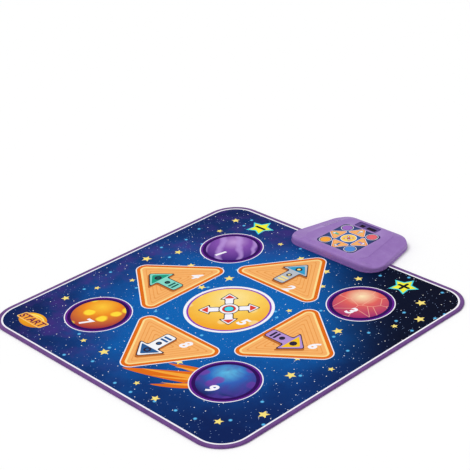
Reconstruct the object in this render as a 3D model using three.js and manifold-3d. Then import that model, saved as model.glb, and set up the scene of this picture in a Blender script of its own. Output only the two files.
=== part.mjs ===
// Electronic dance mat: a folding floor mat with touch pads, and a control console on its rear edge.
// Millimetres, +Z up. The origin is the middle of the mat's underside, and the console is towards +Y.

import * as THREE from "three";
import { mergeVertices } from "three/addons/utils/BufferGeometryUtils.js";
import Module from "manifold-3d";

// Clearances that the whole object shares
const gap = 0.3;
const cutOverrun = 1;
const joinDepth = 0.5;

// Pad layout: round pads at the corners of a square, wedge pads between them, one pad in the middle
const padSpacing = 238.5;
const padEdgeDistance = 211.5;
const roundPadRadius = 86.5;
const wedgePadSide = 15;
const wedgePadEdge = 96;
const wedgePadCorner = 25;
const foldMargin = 7;
const centrePadClear = 39;
const starPadRadius = 36;
const starPadShift = 26.5;
const starPlaceShare = 0.424;
const starWaistShare = 0.52;
const startPadLength = 90;
const startPadHeight = 62;
const startPlaceShares = [0.508, 0.617];

// Mat outline, and the fold line between the wedge pads
const matWidth = 2 * (padSpacing + padEdgeDistance);
const matDepth = matWidth;
const matCornerRadius = 86;
const wedgePadHalfWidth = padSpacing - roundPadRadius - wedgePadSide;
const wedgePadNear = wedgePadHalfWidth + 2 * foldMargin;
const wedgePadFar = matWidth / 2 - wedgePadEdge;
const centrePadRadius = wedgePadNear - centrePadClear;
const foldY = -wedgePadHalfWidth - foldMargin;

// Mat layers, from the floor up
const backingThickness = 0.8;
const filmThickness = 0.3;
const foamThickness = 2.6;
const sheetThickness = 0.8;

// Sewn edge binding, a tape folded over the edge
const bindingWidth = 11;
const bindingThickness = 0.6;

// Pad plates and the contact patches under them
const padThickness = 1.2;
const contactThickness = 0.2;
const contactInset = 9;
const smallContactInset = 5;

// Console outline, seen from above
const consoleX = 5;
const consoleOverlap = 85;
const consoleFrontWidth = 352;
const consoleRearWidth = 250;
const consoleFrontCorner = 50;
const consoleRearCorner = 60;

// Console heights
const baseFootGap = 1.5;
const partingRise = 3.5;

// Console shells
const shellWall = 2.2;
const deckThickness = 2.5;
const frontFloorThickness = 2;
const rearFloorThickness = 2.5;
const shoulderInset = 9;
const baseEdgeRound = 2;
const wallProfileShares = [
  [0.1, 0],
  [0.28, 0.42],
  [0.56, 0.78],
  [1, 1],
];

// Raised deck on the console's top
const deckFrontInset = 15;
const deckRearInset = 23;
const deckFrontSide = 58;
const deckRearSide = 42;
const deckFrontCorner = 30;
const deckRearCorner = 26;
const deckEdgeRun = 4;
const deckEdgeDrop = 2.5;
const deckEdgeRound = 1.2;

// Printed light panel, its window, and the light grid under it
const panelFrontMargin = 10;
const panelDisplayGap = 6;
const panelWidth = 133;
const panelCorner = 14;
const panelThickness = 1;
const panelLedge = 5;
const gridFlange = 3;
const gridHeight = 5.1;
const gridBar = 3;
const lightSize = 5;
const lightHeight = 1.4;
const boardThickness = 1.6;
const lightBoardMargin = 4;

// Score display
const displayX = -3.5;
const displayRearMargin = 4;
const displayWidth = 78;
const displayDepth = 27;
const displayCorner = 4;
const displayRecess = 1;
const windowRearMargin = 10.25;
const oneDigitX = -20;
const oneDigitWidth = 14;
const twoDigitX = 13;
const twoDigitWidth = 29;
const windowDepth = 12.5;
const lensMargin = 2;
const lensThickness = 1.3;
const digitMargin = 1;

// Speaker and its slots
const speakerSideDistance = 39.6;
const speakerRearDistance = 78;
const speakerRadius = 19;
const speakerHeight = 13;
const magnetRadius = 13;
const magnetHeight = 5;
const coneDepth = 4;
const coneRadius = 8;
const slotCount = 8;
const slotPitch = 7;
const slotLength = 14;
const slotWidth = 3;
const slotSlant = 0.25;

// Main board and what is soldered to it
const mainBoardDepth = 58.7;
const mainBoardZ = 10;
const mainBoardBayGap = 13;
const postRadius = 3;
const postInset = 6;
const chipSize = 16;
const chipHeight = 2;
const chipSpacing = 2;
const chipEdge = 3;
const capacitorRadius = 4;
const capacitorHeight = 7;
const socketWidth = 50;
const socketDepth = 7;
const socketHeight = 3.4;
const socketInset = 2;

// Flat tail that joins the mat's films to the main board
const tailWidth = 44;
const tailThickness = 0.3;
const tailReach = 14;
const tailEdgeMargin = 11;
const tailBoardGap = 5;

// Clamp strip under the mat, which the console's front screws pull up
const clampTailGap = 6;
const clampEndMargin = 13;
const clampWidth = 16;
const clampThickness = 2.4;

// Screws and their bosses
const screwRadius = 1.3;
const screwHeadRadius = 2.8;
const screwHeadHeight = 1.2;
const screwLength = 15;
const screwCounterbore = 1.4;
const bossRadius = 4.5;
const bossHoleSpare = 1.5;
const frontBossSide = 72.7;
const rearBossSide = 62.3;
const rearBossRear = 39;

// Battery bay, cells and door
const bayRearGap = 29;
const cellCount = 3;
const cellRadius = 7.1;
const cellLength = 49.2;
const cellNubRadius = 2.7;
const cellNubLength = 1;
const contactSpace = 3.4;
const contactPlate = 0.5;
const contactPlateSize = 11;
const contactBumpRadius = 2.2;
const bayWall = 1.5;
const bayBoardGap = 1.5;
const doorThickness = 1.2;
const doorLip = 3;
const doorTabLength = 9;
const doorTabWidth = 16;
const doorScrewRadius = 1;
const doorScrewHeadRadius = 2.4;
const doorScrewHeadHeight = 0.9;
const doorScrewLength = 7;
const doorBossRadius = 3.4;

// Power switch in the rear wall
const switchSide = 61;
const switchWidth = 16;
const switchDepth = 6;
const switchHeight = 7;
const switchShelfHeight = 5;
const knobWidth = 5;
const knobHeight = 3.4;
const knobTravel = 4;
const knobFlange = 1.4;
const knobRecess = 1;

// Rubber feet under the console's rear edge
const footSide = 30;
const footRear = 21;
const footRadius = 7;

// Faceting of round outlines
const padSteps = 40;
const cornerSteps = 7;
const wedgeCornerSteps = 7;
const screwSteps = 14;
const roundSteps = 28;

// Heights that follow from the layers
const backingTop = backingThickness;
const filmTop = backingTop + filmThickness;
const foamTop = filmTop + foamThickness;
const sheetTop = foamTop + sheetThickness;
const bindingTop = sheetTop + bindingThickness;
const partingZ = sheetTop + partingRise;
const frontFloorTop = sheetTop + frontFloorThickness;
const rearFloorTop = baseFootGap + rearFloorThickness;
const switchBottom = rearFloorTop + switchShelfHeight;
const shoulderZ = switchBottom + switchHeight + gap + shellWall;
const cellZ = baseFootGap + doorThickness + 2 * gap + cellRadius;
const bayTop = cellZ + cellRadius + gap;
const lightBoardBottom = bayTop + bayWall + bayBoardGap;
const gridBottom = lightBoardBottom + boardThickness;
const deckUnderside = gridBottom + gridHeight;
const deckZ = deckUnderside + deckThickness;
const lensBottom = deckUnderside - lensThickness;
const mainBoardTop = mainBoardZ + boardThickness;

// Places in the console that follow from the mat's edge, the console's outline and each other
const consoleFrontY = matDepth / 2 - consoleOverlap;
const tailY = matDepth / 2 - bindingWidth - tailEdgeMargin;
const clampY = tailY - tailReach - clampTailGap - clampWidth / 2;
const mainBoardFront = tailY + tailBoardGap;
const mainBoardY = mainBoardFront + mainBoardDepth / 2;
const cellPitch = 2 * cellRadius + gap;
const bayDepth = cellCount * cellPitch + gap;
const bayLength = cellLength + cellNubLength + 2 * contactSpace;
const bayFront = mainBoardFront + mainBoardDepth + mainBoardBayGap + bayWall;
const bayY = bayFront + bayDepth / 2;
const consoleRearY = bayFront + bayDepth + bayRearGap;
const consoleDepth = consoleRearY - consoleFrontY;
const deckFrontY = consoleFrontY + deckFrontInset;
const deckRearY = consoleRearY - deckRearInset;
const displayY = deckRearY - displayRearMargin - displayDepth / 2;
const windowY = deckRearY - displayRearMargin - windowRearMargin - windowDepth / 2;
const panelFrontY = deckFrontY + panelFrontMargin;
const panelDepth = displayY - displayDepth / 2 - panelDisplayGap - panelFrontY;
const panelY = panelFrontY + panelDepth / 2;
const mainBoardWidth = socketWidth + 2 * (chipSpacing + chipSize + chipEdge);

// Half the console's width at a place along Y, before its corners are rounded
function consoleHalfWidth(y) {
  const share = (y - consoleFrontY) / consoleDepth;
  return (consoleFrontWidth + share * (consoleRearWidth - consoleFrontWidth)) / 2;
}

const speakerY = consoleRearY - speakerRearDistance;
const speakerX = speakerSideDistance - consoleHalfWidth(speakerY);
const frontBossX = consoleHalfWidth(clampY) - frontBossSide;
const rearBossY = consoleRearY - rearBossRear;
const rearBossX = consoleHalfWidth(rearBossY) - rearBossSide;
const clampLength = 2 * (frontBossX + clampEndMargin);
const switchX = consoleRearWidth / 2 - switchSide;
const switchY = consoleRearY - shoulderInset - shellWall - gap - switchDepth / 2;
const footX = consoleRearWidth / 2 - footSide;
const footY = consoleRearY - footRear;

const wasm = await Module();
wasm.setup();

// Finishes
const finishes = {
  printedSheet: { color: 0x153a78, roughness: 0.55, metalness: 0 },
  bindingTape: { color: 0x6a3f8c, roughness: 0.85, metalness: 0 },
  foam: { color: 0xd8d8d4, roughness: 0.95, metalness: 0 },
  film: { color: 0x9aa7ad, roughness: 0.35, metalness: 0 },
  backing: { color: 0x2a2d36, roughness: 0.9, metalness: 0 },
  purplePad: { color: 0x6a45a0, roughness: 0.5, metalness: 0 },
  redPad: { color: 0xc8455a, roughness: 0.5, metalness: 0 },
  yellowPad: { color: 0xf0a82a, roughness: 0.5, metalness: 0 },
  bluePad: { color: 0x3f6fd0, roughness: 0.5, metalness: 0 },
  orangePad: { color: 0xeaa058, roughness: 0.5, metalness: 0 },
  greenPad: { color: 0xcfe23c, roughness: 0.5, metalness: 0 },
  lilacPlastic: { color: 0x9a70bc, roughness: 0.5, metalness: 0 },
  purplePlastic: { color: 0x7d50a0, roughness: 0.55, metalness: 0 },
  panel: { color: 0x24408c, roughness: 0.2, metalness: 0 },
  whitePlastic: { color: 0xe8e8e4, roughness: 0.6, metalness: 0 },
  darkLens: { color: 0x16101c, roughness: 0.1, metalness: 0 },
  circuitBoard: { color: 0x1d6a3a, roughness: 0.5, metalness: 0 },
  lamp: { color: 0xf4f0c8, roughness: 0.3, metalness: 0 },
  blackPlastic: { color: 0x1c1c1e, roughness: 0.6, metalness: 0 },
  steel: { color: 0xb4b6ba, roughness: 0.35, metalness: 1 },
  cellJacket: { color: 0x2f6f4a, roughness: 0.4, metalness: 0.3 },
  rubber: { color: 0x202022, roughness: 0.9, metalness: 0 },
};

const danceMat = new THREE.Group();

// Adds one named piece with its own material to the mat.
function addPiece(name, geometry, finish) {
  const material = new THREE.MeshStandardMaterial(finishes[finish]);
  const mesh = new THREE.Mesh(geometry, material);
  mesh.name = name;
  danceMat.add(mesh);
}

// Turns a closed geometry into a solid that can be joined and cut.
function solid(geometry) {
  const bare = geometry.clone();
  bare.deleteAttribute("normal");
  bare.deleteAttribute("uv");
  const merged = mergeVertices(bare);
  const mesh = new wasm.Mesh({
    numProp: 3,
    vertProperties: merged.attributes.position.array,
    triVerts: new Uint32Array(merged.index.array),
  });
  return new wasm.Manifold(mesh);
}

// Turns a solid back into a geometry.
function geometryOf(body) {
  const mesh = body.getMesh();
  const geometry = new THREE.BufferGeometry();
  geometry.setAttribute("position", new THREE.BufferAttribute(mesh.vertProperties, 3));
  geometry.setIndex(new THREE.BufferAttribute(mesh.triVerts, 1));
  geometry.computeVertexNormals();
  return geometry;
}

// Joins geometries to one, then cuts the others out of it.
function shape(joined, cuts = []) {
  let body = solid(joined[0]);
  for (const piece of joined.slice(1)) body = body.add(solid(piece));
  for (const cut of cuts) body = body.subtract(solid(cut));
  return geometryOf(body);
}

// An outline with its corners rounded; a radius of zero leaves a corner sharp.
function roundedOutline(corners, radii, steps) {
  const points = [];
  corners.forEach(([x, y], i) => {
    const corner = new THREE.Vector2(x, y);
    const before = new THREE.Vector2(...corners.at(i - 1)).sub(corner).normalize();
    const after = new THREE.Vector2(...corners[(i + 1) % corners.length]).sub(corner).normalize();
    if (radii[i] === 0) {
      points.push(corner);
      return;
    }
    const halfAngle = Math.acos(before.dot(after)) / 2;
    const middle = before.clone().add(after).normalize();
    const centre = corner.clone().addScaledVector(middle, radii[i] / Math.sin(halfAngle));
    const reach = radii[i] / Math.tan(halfAngle);
    const start = corner.clone().addScaledVector(before, reach).sub(centre).angle();
    const turn = Math.PI - 2 * halfAngle;
    for (let step = 0; step <= steps; step += 1) {
      const angle = start + (turn * step) / steps;
      points.push(new THREE.Vector2(Math.cos(angle), Math.sin(angle)).multiplyScalar(radii[i]).add(centre));
    }
  });
  return points;
}

// The sideways step of each point when an outline moves outwards by one unit.
function outwardSteps(points) {
  return points.map((point, i) => {
    const before = points.at(i - 1);
    const after = points[(i + 1) % points.length];
    const first = new THREE.Vector2(point.y - before.y, before.x - point.x).normalize();
    const second = new THREE.Vector2(after.y - point.y, point.x - after.x).normalize();
    return first.clone().add(second).divideScalar(1 + first.dot(second));
  });
}

// The outline moved outwards by a distance, or inwards if it is negative.
function grown(points, distance) {
  const steps = outwardSteps(points);
  return points.map((point, i) => point.clone().addScaledVector(steps[i], distance));
}

function ovalOutline(x, y, length, height, steps) {
  const points = [];
  for (let step = 0; step < steps; step += 1) {
    const angle = (2 * Math.PI * step) / steps;
    points.push(new THREE.Vector2(x + (length / 2) * Math.cos(angle), y + (height / 2) * Math.sin(angle)));
  }
  return points;
}

function roundOutline(x, y, radius, steps) {
  return ovalOutline(x, y, 2 * radius, 2 * radius, steps);
}

function boxOutline(x, y, width, depth) {
  const left = x - width / 2;
  const front = y - depth / 2;
  const corners = [
    [left, front],
    [left + width, front],
    [left + width, front + depth],
    [left, front + depth],
  ];
  return corners.map(([u, v]) => new THREE.Vector2(u, v));
}

function roundedBoxOutline(x, y, width, depth, radius) {
  const corners = boxOutline(x, y, width, depth).map((point) => point.toArray());
  return roundedOutline(corners, [radius, radius, radius, radius], cornerSteps);
}

// A flat slab of an outline with holes, between two heights.
function slab(outline, low, high, holes = []) {
  const flat = new THREE.Shape(outline);
  flat.holes = holes.map((hole) => new THREE.Path(hole));
  const geometry = new THREE.ExtrudeGeometry(flat, { depth: high - low, bevelEnabled: false });
  return geometry.translate(0, 0, low);
}

function cylinder(x, y, radius, low, high, steps = screwSteps) {
  return slab(roundOutline(x, y, radius, steps), low, high);
}

function box(x, y, width, depth, low, high) {
  return slab(boxOutline(x, y, width, depth), low, high);
}

// A closed skin over rings of equally many points, with its two ends closed flat.
function skin(rings, endOutline) {
  const count = rings[0].length;
  const positions = rings.flat().flatMap((point) => point.toArray());
  const faces = [];
  for (let ring = 0; ring + 1 < rings.length; ring += 1) {
    for (let i = 0; i < count; i += 1) {
      const next = (i + 1) % count;
      const low = ring * count;
      const high = low + count;
      faces.push(low + i, low + next, high + next, low + i, high + next, high + i);
    }
  }
  const last = (rings.length - 1) * count;
  for (const [a, b, c] of THREE.ShapeUtils.triangulateShape(endOutline, [])) {
    faces.push(c, b, a, last + a, last + b, last + c);
  }
  const geometry = new THREE.BufferGeometry();
  geometry.setAttribute("position", new THREE.Float32BufferAttribute(positions, 3));
  geometry.setIndex(faces);
  geometry.computeVertexNormals();
  return geometry;
}

function ringAt(outline, height) {
  return outline.map((point) => new THREE.Vector3(point.x, point.y, height));
}

// Mat: one part lies under the console, and the flap folds over it along the fold line.

const mainHalf = { front: foldY + gap / 2, isFlap: false };
const flapHalf = { rear: foldY - gap / 2, isFlap: true };

// A layer's outline on one half of the mat, drawn in from the mat's edge.
function layerOutline(half, inset) {
  const side = matWidth / 2 - inset;
  const edge = matDepth / 2 - inset;
  const radius = matCornerRadius - inset;
  const front = half.isFlap ? -edge : half.front;
  const rear = half.isFlap ? half.rear : edge;
  const corners = [
    [-side, front],
    [side, front],
    [side, rear],
    [-side, rear],
  ];
  const radii = half.isFlap ? [radius, radius, 0, 0] : [0, 0, radius, radius];
  return roundedOutline(corners, radii, cornerSteps);
}

// The tape's folded section, swept along the outer edge of one half.
function bindingGeometry(half) {
  const outline = layerOutline(half, 0);
  const path = half.isFlap ? [outline.at(-1), ...outline.slice(0, -1)] : [...outline.slice(1), outline[0]];
  const steps = outwardSteps(path);
  steps[0] = new THREE.Vector2(Math.sign(path[0].x), 0);
  steps[path.length - 1] = new THREE.Vector2(Math.sign(path.at(-1).x), 0);
  const section = [
    [0, 0],
    [bindingWidth, 0],
    [bindingWidth, bindingThickness],
    [bindingThickness, bindingThickness],
    [bindingThickness, sheetTop],
    [bindingWidth, sheetTop],
    [bindingWidth, bindingTop],
    [0, bindingTop],
  ].map(([inwards, height]) => new THREE.Vector2(inwards, height));
  const rings = path.map((point, i) =>
    section.map((at) => {
      const place = point.clone().addScaledVector(steps[i], -at.x);
      return new THREE.Vector3(place.x, place.y, at.y);
    }),
  );
  return skin(rings, section);
}

// A wedge pad's rounded triangle: three corner arcs, each turning from one straight side to the next.
function wedgeOutline(turn) {
  const near = wedgePadNear + wedgePadCorner;
  const half = wedgePadHalfWidth - wedgePadCorner;
  const centres = [
    new THREE.Vector2(near, -half),
    new THREE.Vector2(wedgePadFar - wedgePadCorner, 0),
    new THREE.Vector2(near, half),
  ];
  const points = centres.flatMap((centre, i) => {
    const arriving = centre.clone().sub(centres.at(i - 1)).angle();
    const leaving = centres[(i + 1) % centres.length].clone().sub(centre).angle();
    const bend = THREE.MathUtils.euclideanModulo(leaving - arriving, 2 * Math.PI);
    const arc = [];
    for (let step = 0; step <= wedgeCornerSteps; step += 1) {
      const angle = arriving - Math.PI / 2 + (bend * step) / wedgeCornerSteps;
      arc.push(new THREE.Vector2(wedgePadCorner, 0).rotateAround(new THREE.Vector2(), angle).add(centre));
    }
    return arc;
  });
  return points.map((point) => point.rotateAround(new THREE.Vector2(), turn));
}

// A star pad lies between a rear round pad's rim and the mat's rear edge.
function starOutline(side) {
  const x = side * (padSpacing + starPadShift);
  const y = padSpacing + roundPadRadius + starPlaceShare * (padEdgeDistance - roundPadRadius);
  const points = [];
  const tips = 5;
  for (let i = 0; i < 2 * tips; i += 1) {
    const radius = i % 2 === 0 ? starPadRadius : starPadRadius * starWaistShare;
    const angle = Math.PI / 2 + (Math.PI * i) / tips;
    points.push(new THREE.Vector2(x + radius * Math.cos(angle), y + radius * Math.sin(angle)));
  }
  return points;
}

// The start pad lies between the front left round pad and the mat's corner.
function startOutline() {
  const [xShare, yShare] = startPlaceShares;
  const x = -padSpacing - xShare * padEdgeDistance;
  const y = -padSpacing - yShare * padEdgeDistance;
  return ovalOutline(x, y, startPadLength, startPadHeight, roundSteps);
}

// A round pad lies at each corner of a square.
function cornerPadOutline(xSide, ySide) {
  return roundOutline(xSide * padSpacing, ySide * padSpacing, roundPadRadius, padSteps);
}

const quarterTurn = Math.PI / 2;
const pads = [
  { name: "pad_1", outline: cornerPadOutline(-1, 1), finish: "purplePad" },
  { name: "pad_2", outline: wedgeOutline(quarterTurn), finish: "orangePad" },
  { name: "pad_3", outline: cornerPadOutline(1, 1), finish: "redPad" },
  { name: "pad_4", outline: wedgeOutline(2 * quarterTurn), finish: "orangePad" },
  { name: "pad_5", outline: roundOutline(0, 0, centrePadRadius, padSteps), finish: "yellowPad" },
  { name: "pad_6", outline: wedgeOutline(0), finish: "orangePad" },
  { name: "pad_7", outline: cornerPadOutline(-1, -1), finish: "yellowPad" },
  { name: "pad_8", outline: wedgeOutline(-quarterTurn), finish: "orangePad" },
  { name: "pad_9", outline: cornerPadOutline(1, -1), finish: "bluePad" },
  { name: "pad_minus", outline: starOutline(-1), finish: "greenPad", small: true },
  { name: "pad_plus", outline: starOutline(1), finish: "greenPad", small: true },
  { name: "pad_start", outline: startOutline(), finish: "yellowPad", small: true },
];

// A pad's cover with its contact patch under it, level with the printed sheet.
function padGeometry(pad) {
  const contactOutline = grown(pad.outline, -(pad.small ? smallContactInset : contactInset));
  const coverBottom = sheetTop - padThickness;
  const rings = [
    ringAt(contactOutline, coverBottom - contactThickness),
    ringAt(contactOutline, coverBottom),
    ringAt(pad.outline, coverBottom),
    ringAt(pad.outline, sheetTop),
  ];
  return skin(rings, contactOutline);
}

for (const pad of pads) {
  addPiece(pad.name, padGeometry(pad), pad.finish);
}

function isOnFlap(pad) {
  return Math.max(...pad.outline.map((point) => point.y)) < foldY;
}

const flapPadHoles = pads.filter(isOnFlap).map((pad) => grown(pad.outline, gap));
const mainPadHoles = pads.filter((pad) => !isOnFlap(pad)).map((pad) => grown(pad.outline, gap));

// Openings in the layers for the clamp strip, its screws and the tail
const clampHole = boxOutline(consoleX, clampY, clampLength + 2 * gap, clampWidth + 2 * gap);
const frontScrewHoles = [-1, 1].map((side) =>
  roundOutline(consoleX + side * frontBossX, clampY, screwRadius + gap, screwSteps),
);
const tailTop = mainBoardTop + socketHeight / 2 + tailThickness / 2;
const tailLength = tailWidth + 2 * gap;
const tailPocket = boxOutline(
  consoleX,
  tailY + tailThickness / 2 - tailReach / 2,
  tailLength,
  tailReach + tailThickness + 2 * gap,
);
const tailSlot = boxOutline(consoleX, tailY, tailLength, tailThickness + 2 * gap);

const sheetInset = bindingThickness + gap;
const backingInset = bindingWidth + gap;

const layers = [
  { name: "backing_sheet", inset: backingInset, low: 0, high: backingTop, finish: "backing" },
  { name: "contact_film", inset: sheetInset, low: backingTop, high: filmTop, finish: "film" },
  { name: "foam_spacer", inset: sheetInset, low: filmTop, high: foamTop, finish: "foam", hasPads: true },
  {
    name: "top_sheet",
    inset: sheetInset,
    low: foamTop,
    high: sheetTop,
    finish: "printedSheet",
    hasPads: true,
  },
];
const layerOpenings = {
  backing_sheet: [clampHole],
  contact_film: [clampHole],
  foam_spacer: [clampHole, tailPocket],
  top_sheet: [...frontScrewHoles, tailSlot],
};

for (const layer of layers) {
  const mainHoles = [...(layer.hasPads ? mainPadHoles : []), ...layerOpenings[layer.name]];
  const flapHoles = layer.hasPads ? flapPadHoles : [];
  const mainOutline = layerOutline(mainHalf, layer.inset);
  const flapOutline = layerOutline(flapHalf, layer.inset);
  addPiece(layer.name, slab(mainOutline, layer.low, layer.high, mainHoles), layer.finish);
  addPiece(`${layer.name}_flap`, slab(flapOutline, layer.low, layer.high, flapHoles), layer.finish);
}
addPiece("edge_binding", bindingGeometry(mainHalf), "bindingTape");
addPiece("edge_binding_flap", bindingGeometry(flapHalf), "bindingTape");

// The tail lies on the film, rises through the sheet and the console's floor, and enters the socket.
const tailLow = filmTop + tailThickness;
const tailProfile = [
  [tailY + tailThickness / 2 - tailReach, filmTop],
  [tailY + tailThickness / 2, filmTop],
  [tailY + tailThickness / 2, tailTop - tailThickness],
  [mainBoardFront + socketInset - gap, tailTop - tailThickness],
  [mainBoardFront + socketInset - gap, tailTop],
  [tailY - tailThickness / 2, tailTop],
  [tailY - tailThickness / 2, tailLow],
  [tailY + tailThickness / 2 - tailReach, tailLow],
].map(([y, z]) => new THREE.Vector2(y, z));
const tailRings = [-1, 1].map((side) =>
  tailProfile.map((point) => new THREE.Vector3(consoleX + (side * tailWidth) / 2, point.x, point.y)),
);
addPiece("mat_tail", skin(tailRings, tailProfile), "film");

// Clamp strip, which lies in the opening of the lower layers
const clampBottom = foamTop - clampThickness;
const clampOutline = boxOutline(consoleX, clampY, clampLength, clampWidth);
addPiece("clamp_strip", slab(clampOutline, clampBottom, foamTop, frontScrewHoles), "blackPlastic");

// Console outlines

function taperedOutline(frontY, rearY, frontWidth, rearWidth, frontCorner, rearCorner) {
  const corners = [
    [consoleX - frontWidth / 2, frontY],
    [consoleX + frontWidth / 2, frontY],
    [consoleX + rearWidth / 2, rearY],
    [consoleX - rearWidth / 2, rearY],
  ];
  return roundedOutline(corners, [frontCorner, frontCorner, rearCorner, rearCorner], cornerSteps);
}

const consoleOutline = taperedOutline(
  consoleFrontY,
  consoleRearY,
  consoleFrontWidth,
  consoleRearWidth,
  consoleFrontCorner,
  consoleRearCorner,
);
const deckOutline = taperedOutline(
  deckFrontY,
  deckRearY,
  consoleFrontWidth - 2 * deckFrontSide,
  consoleRearWidth - 2 * deckRearSide,
  deckFrontCorner,
  deckRearCorner,
);

// Top cover: the inner skin goes down to the rim, and the outer skin comes up again to the deck.

function wallRings(wall) {
  const rise = shoulderZ - wall - partingZ;
  return wallProfileShares.map(([insetShare, riseShare]) =>
    ringAt(grown(consoleOutline, -insetShare * shoulderInset - wall), partingZ + riseShare * rise),
  );
}

const outerRings = [
  ...wallRings(0),
  ringAt(grown(deckOutline, deckEdgeRun), deckZ - deckEdgeDrop),
  ringAt(deckOutline, deckZ - deckEdgeRound),
  ringAt(grown(deckOutline, -deckEdgeRound), deckZ),
];
const innerRings = [
  ...wallRings(shellWall),
  ringAt(grown(deckOutline, deckEdgeRun - shellWall), deckUnderside - shellWall),
  ringAt(grown(deckOutline, -shellWall), deckUnderside),
];
const coverSkin = skin([...innerRings.reverse(), ...outerRings], deckOutline);

const panelOutline = roundedBoxOutline(consoleX, panelY, panelWidth, panelDepth, panelCorner);
const panelWindow = grown(panelOutline, -panelLedge);
const displayOutline = roundedBoxOutline(
  consoleX + displayX,
  displayY,
  displayWidth,
  displayDepth,
  displayCorner,
);

function displayWindow(x, width, spare) {
  return boxOutline(consoleX + x, windowY, width + 2 * spare, windowDepth + 2 * spare);
}

const slots = [];
for (let i = 0; i < slotCount; i += 1) {
  const along = (i - (slotCount - 1) / 2) * slotPitch;
  const x = consoleX + speakerX + slotSlant * along;
  slots.push(box(x, speakerY + along, slotLength, slotWidth, shoulderZ - shellWall, deckZ));
}

const switchZ = switchBottom + switchHeight / 2;
const knobX = consoleX + switchX - knobTravel / 2;
const switchSlot = box(
  consoleX + switchX,
  consoleRearY - shoulderInset / 2,
  knobWidth + knobTravel + 2 * gap,
  shoulderInset + 2 * shellWall,
  switchZ - knobHeight / 2 - gap,
  switchZ + knobHeight / 2 + gap,
);

// Screws: the front pair starts under the clamp strip, the rear pair under the console's floor.
const screws = [];
for (const side of [-1, 1]) {
  const rearSeat = baseFootGap + screwCounterbore;
  screws.push({ x: consoleX + side * frontBossX, y: clampY, seat: clampBottom, floor: frontFloorTop });
  screws.push({ x: consoleX + side * rearBossX, y: rearBossY, seat: rearSeat, floor: rearFloorTop });
}
const bosses = screws.map((at) =>
  cylinder(at.x, at.y, bossRadius, at.floor + gap, deckUnderside + joinDepth, roundSteps / 2),
);
const bossHoles = screws.map((at) =>
  cylinder(at.x, at.y, screwRadius + gap, at.floor, at.seat + screwLength + bossHoleSpare),
);

const coverCuts = [
  slab(grown(panelOutline, gap), deckZ - panelThickness, deckZ + cutOverrun),
  slab(panelWindow, deckUnderside - cutOverrun, deckZ),
  slab(displayOutline, deckZ - displayRecess, deckZ + cutOverrun),
  slab(displayWindow(oneDigitX, oneDigitWidth, 0), deckUnderside - cutOverrun, deckZ),
  slab(displayWindow(twoDigitX, twoDigitWidth, 0), deckUnderside - cutOverrun, deckZ),
  switchSlot,
  ...slots,
  ...bossHoles,
];
addPiece("top_cover", shape([coverSkin, ...bosses], coverCuts), "lilacPlastic");

screws.forEach((at, i) => {
  const head = cylinder(at.x, at.y, screwHeadRadius, at.seat - screwHeadHeight, at.seat);
  const shank = cylinder(at.x, at.y, screwRadius, at.seat - joinDepth, at.seat + screwLength);
  addPiece(`case_screw_${i + 1}`, shape([head, shank]), "steel");
});

// Battery bay

const bayInside = boxOutline(consoleX, bayY, bayLength, bayDepth);
const doorLength = bayLength + 2 * doorLip;
const doorDepth = bayDepth + 2 * doorLip;
const tabX = consoleX - doorLength / 2 - doorTabLength / 2;
const doorScrewX = tabX;

function doorShape(spare, low, high) {
  const plate = box(consoleX, bayY, doorLength + 2 * spare, doorDepth + 2 * spare, low, high);
  const tabSpan = doorTabLength + 2 * spare + 2 * joinDepth;
  const tab = box(tabX + joinDepth, bayY, tabSpan, doorTabWidth + 2 * spare, low, high);
  return [plate, tab];
}

const doorBottom = baseFootGap;
const doorTop = doorBottom + doorThickness;
const doorHole = cylinder(
  doorScrewX,
  bayY,
  doorScrewRadius + gap,
  doorBottom - cutOverrun,
  doorTop + cutOverrun,
);
addPiece("battery_door", shape(doorShape(0, doorBottom, doorTop), [doorHole]), "purplePlastic");

const doorScrewHead = cylinder(
  doorScrewX,
  bayY,
  doorScrewHeadRadius,
  doorBottom - doorScrewHeadHeight,
  doorBottom,
);
const doorScrewShank = cylinder(
  doorScrewX,
  bayY,
  doorScrewRadius,
  doorBottom - doorScrewHeadHeight / 2,
  doorBottom + doorScrewLength,
);
addPiece("door_screw", shape([doorScrewHead, doorScrewShank]), "steel");

// A cell with its nub, lying along X; the middle one points the other way.
for (let i = 0; i < cellCount; i += 1) {
  const profile = [
    [0, 0],
    [cellRadius, 0],
    [cellRadius, cellLength],
    [cellNubRadius, cellLength],
    [cellNubRadius, cellLength + cellNubLength],
    [0, cellLength + cellNubLength],
  ].map(([radius, along]) => new THREE.Vector2(radius, along));
  const cell = new THREE.LatheGeometry(profile, roundSteps);
  cell.translate(0, -(cellLength + cellNubLength) / 2, 0);
  cell.rotateZ(i % 2 === 0 ? quarterTurn : -quarterTurn);
  cell.translate(consoleX, bayY + (i - (cellCount - 1) / 2) * cellPitch, cellZ);
  addPiece(`battery_cell_${i + 1}`, shape([cell]), "cellJacket");
}

// Sheet metal contacts at the bay's ends: a bridge spans two cells, a terminal serves one.
function addContact(name, side, first, last) {
  const firstY = bayY + (first - (cellCount - 1) / 2) * cellPitch;
  const lastY = bayY + (last - (cellCount - 1) / 2) * cellPitch;
  const endX = consoleX + side * (bayLength / 2 - gap - contactPlate / 2);
  const plate = box(
    endX,
    (firstY + lastY) / 2,
    contactPlate,
    lastY - firstY + contactPlateSize,
    cellZ - contactPlateSize / 2,
    cellZ + contactPlateSize / 2,
  );
  const bumpLength = contactSpace - gap - contactPlate / 2 - gap;
  const bumps = [...new Set([firstY, lastY])].map((y) =>
    new THREE.CylinderGeometry(contactBumpRadius, contactBumpRadius, bumpLength, screwSteps)
      .rotateZ(quarterTurn)
      .translate(endX - (side * bumpLength) / 2, y, cellZ),
  );
  addPiece(name, shape([plate, ...bumps]), "steel");
}
const lastCell = cellCount - 1;
addContact("contact_terminal_left", -1, 0, 0);
addContact("contact_bridge_left", -1, 1, lastCell);
addContact("contact_bridge_right", 1, 0, lastCell - 1);
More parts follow.
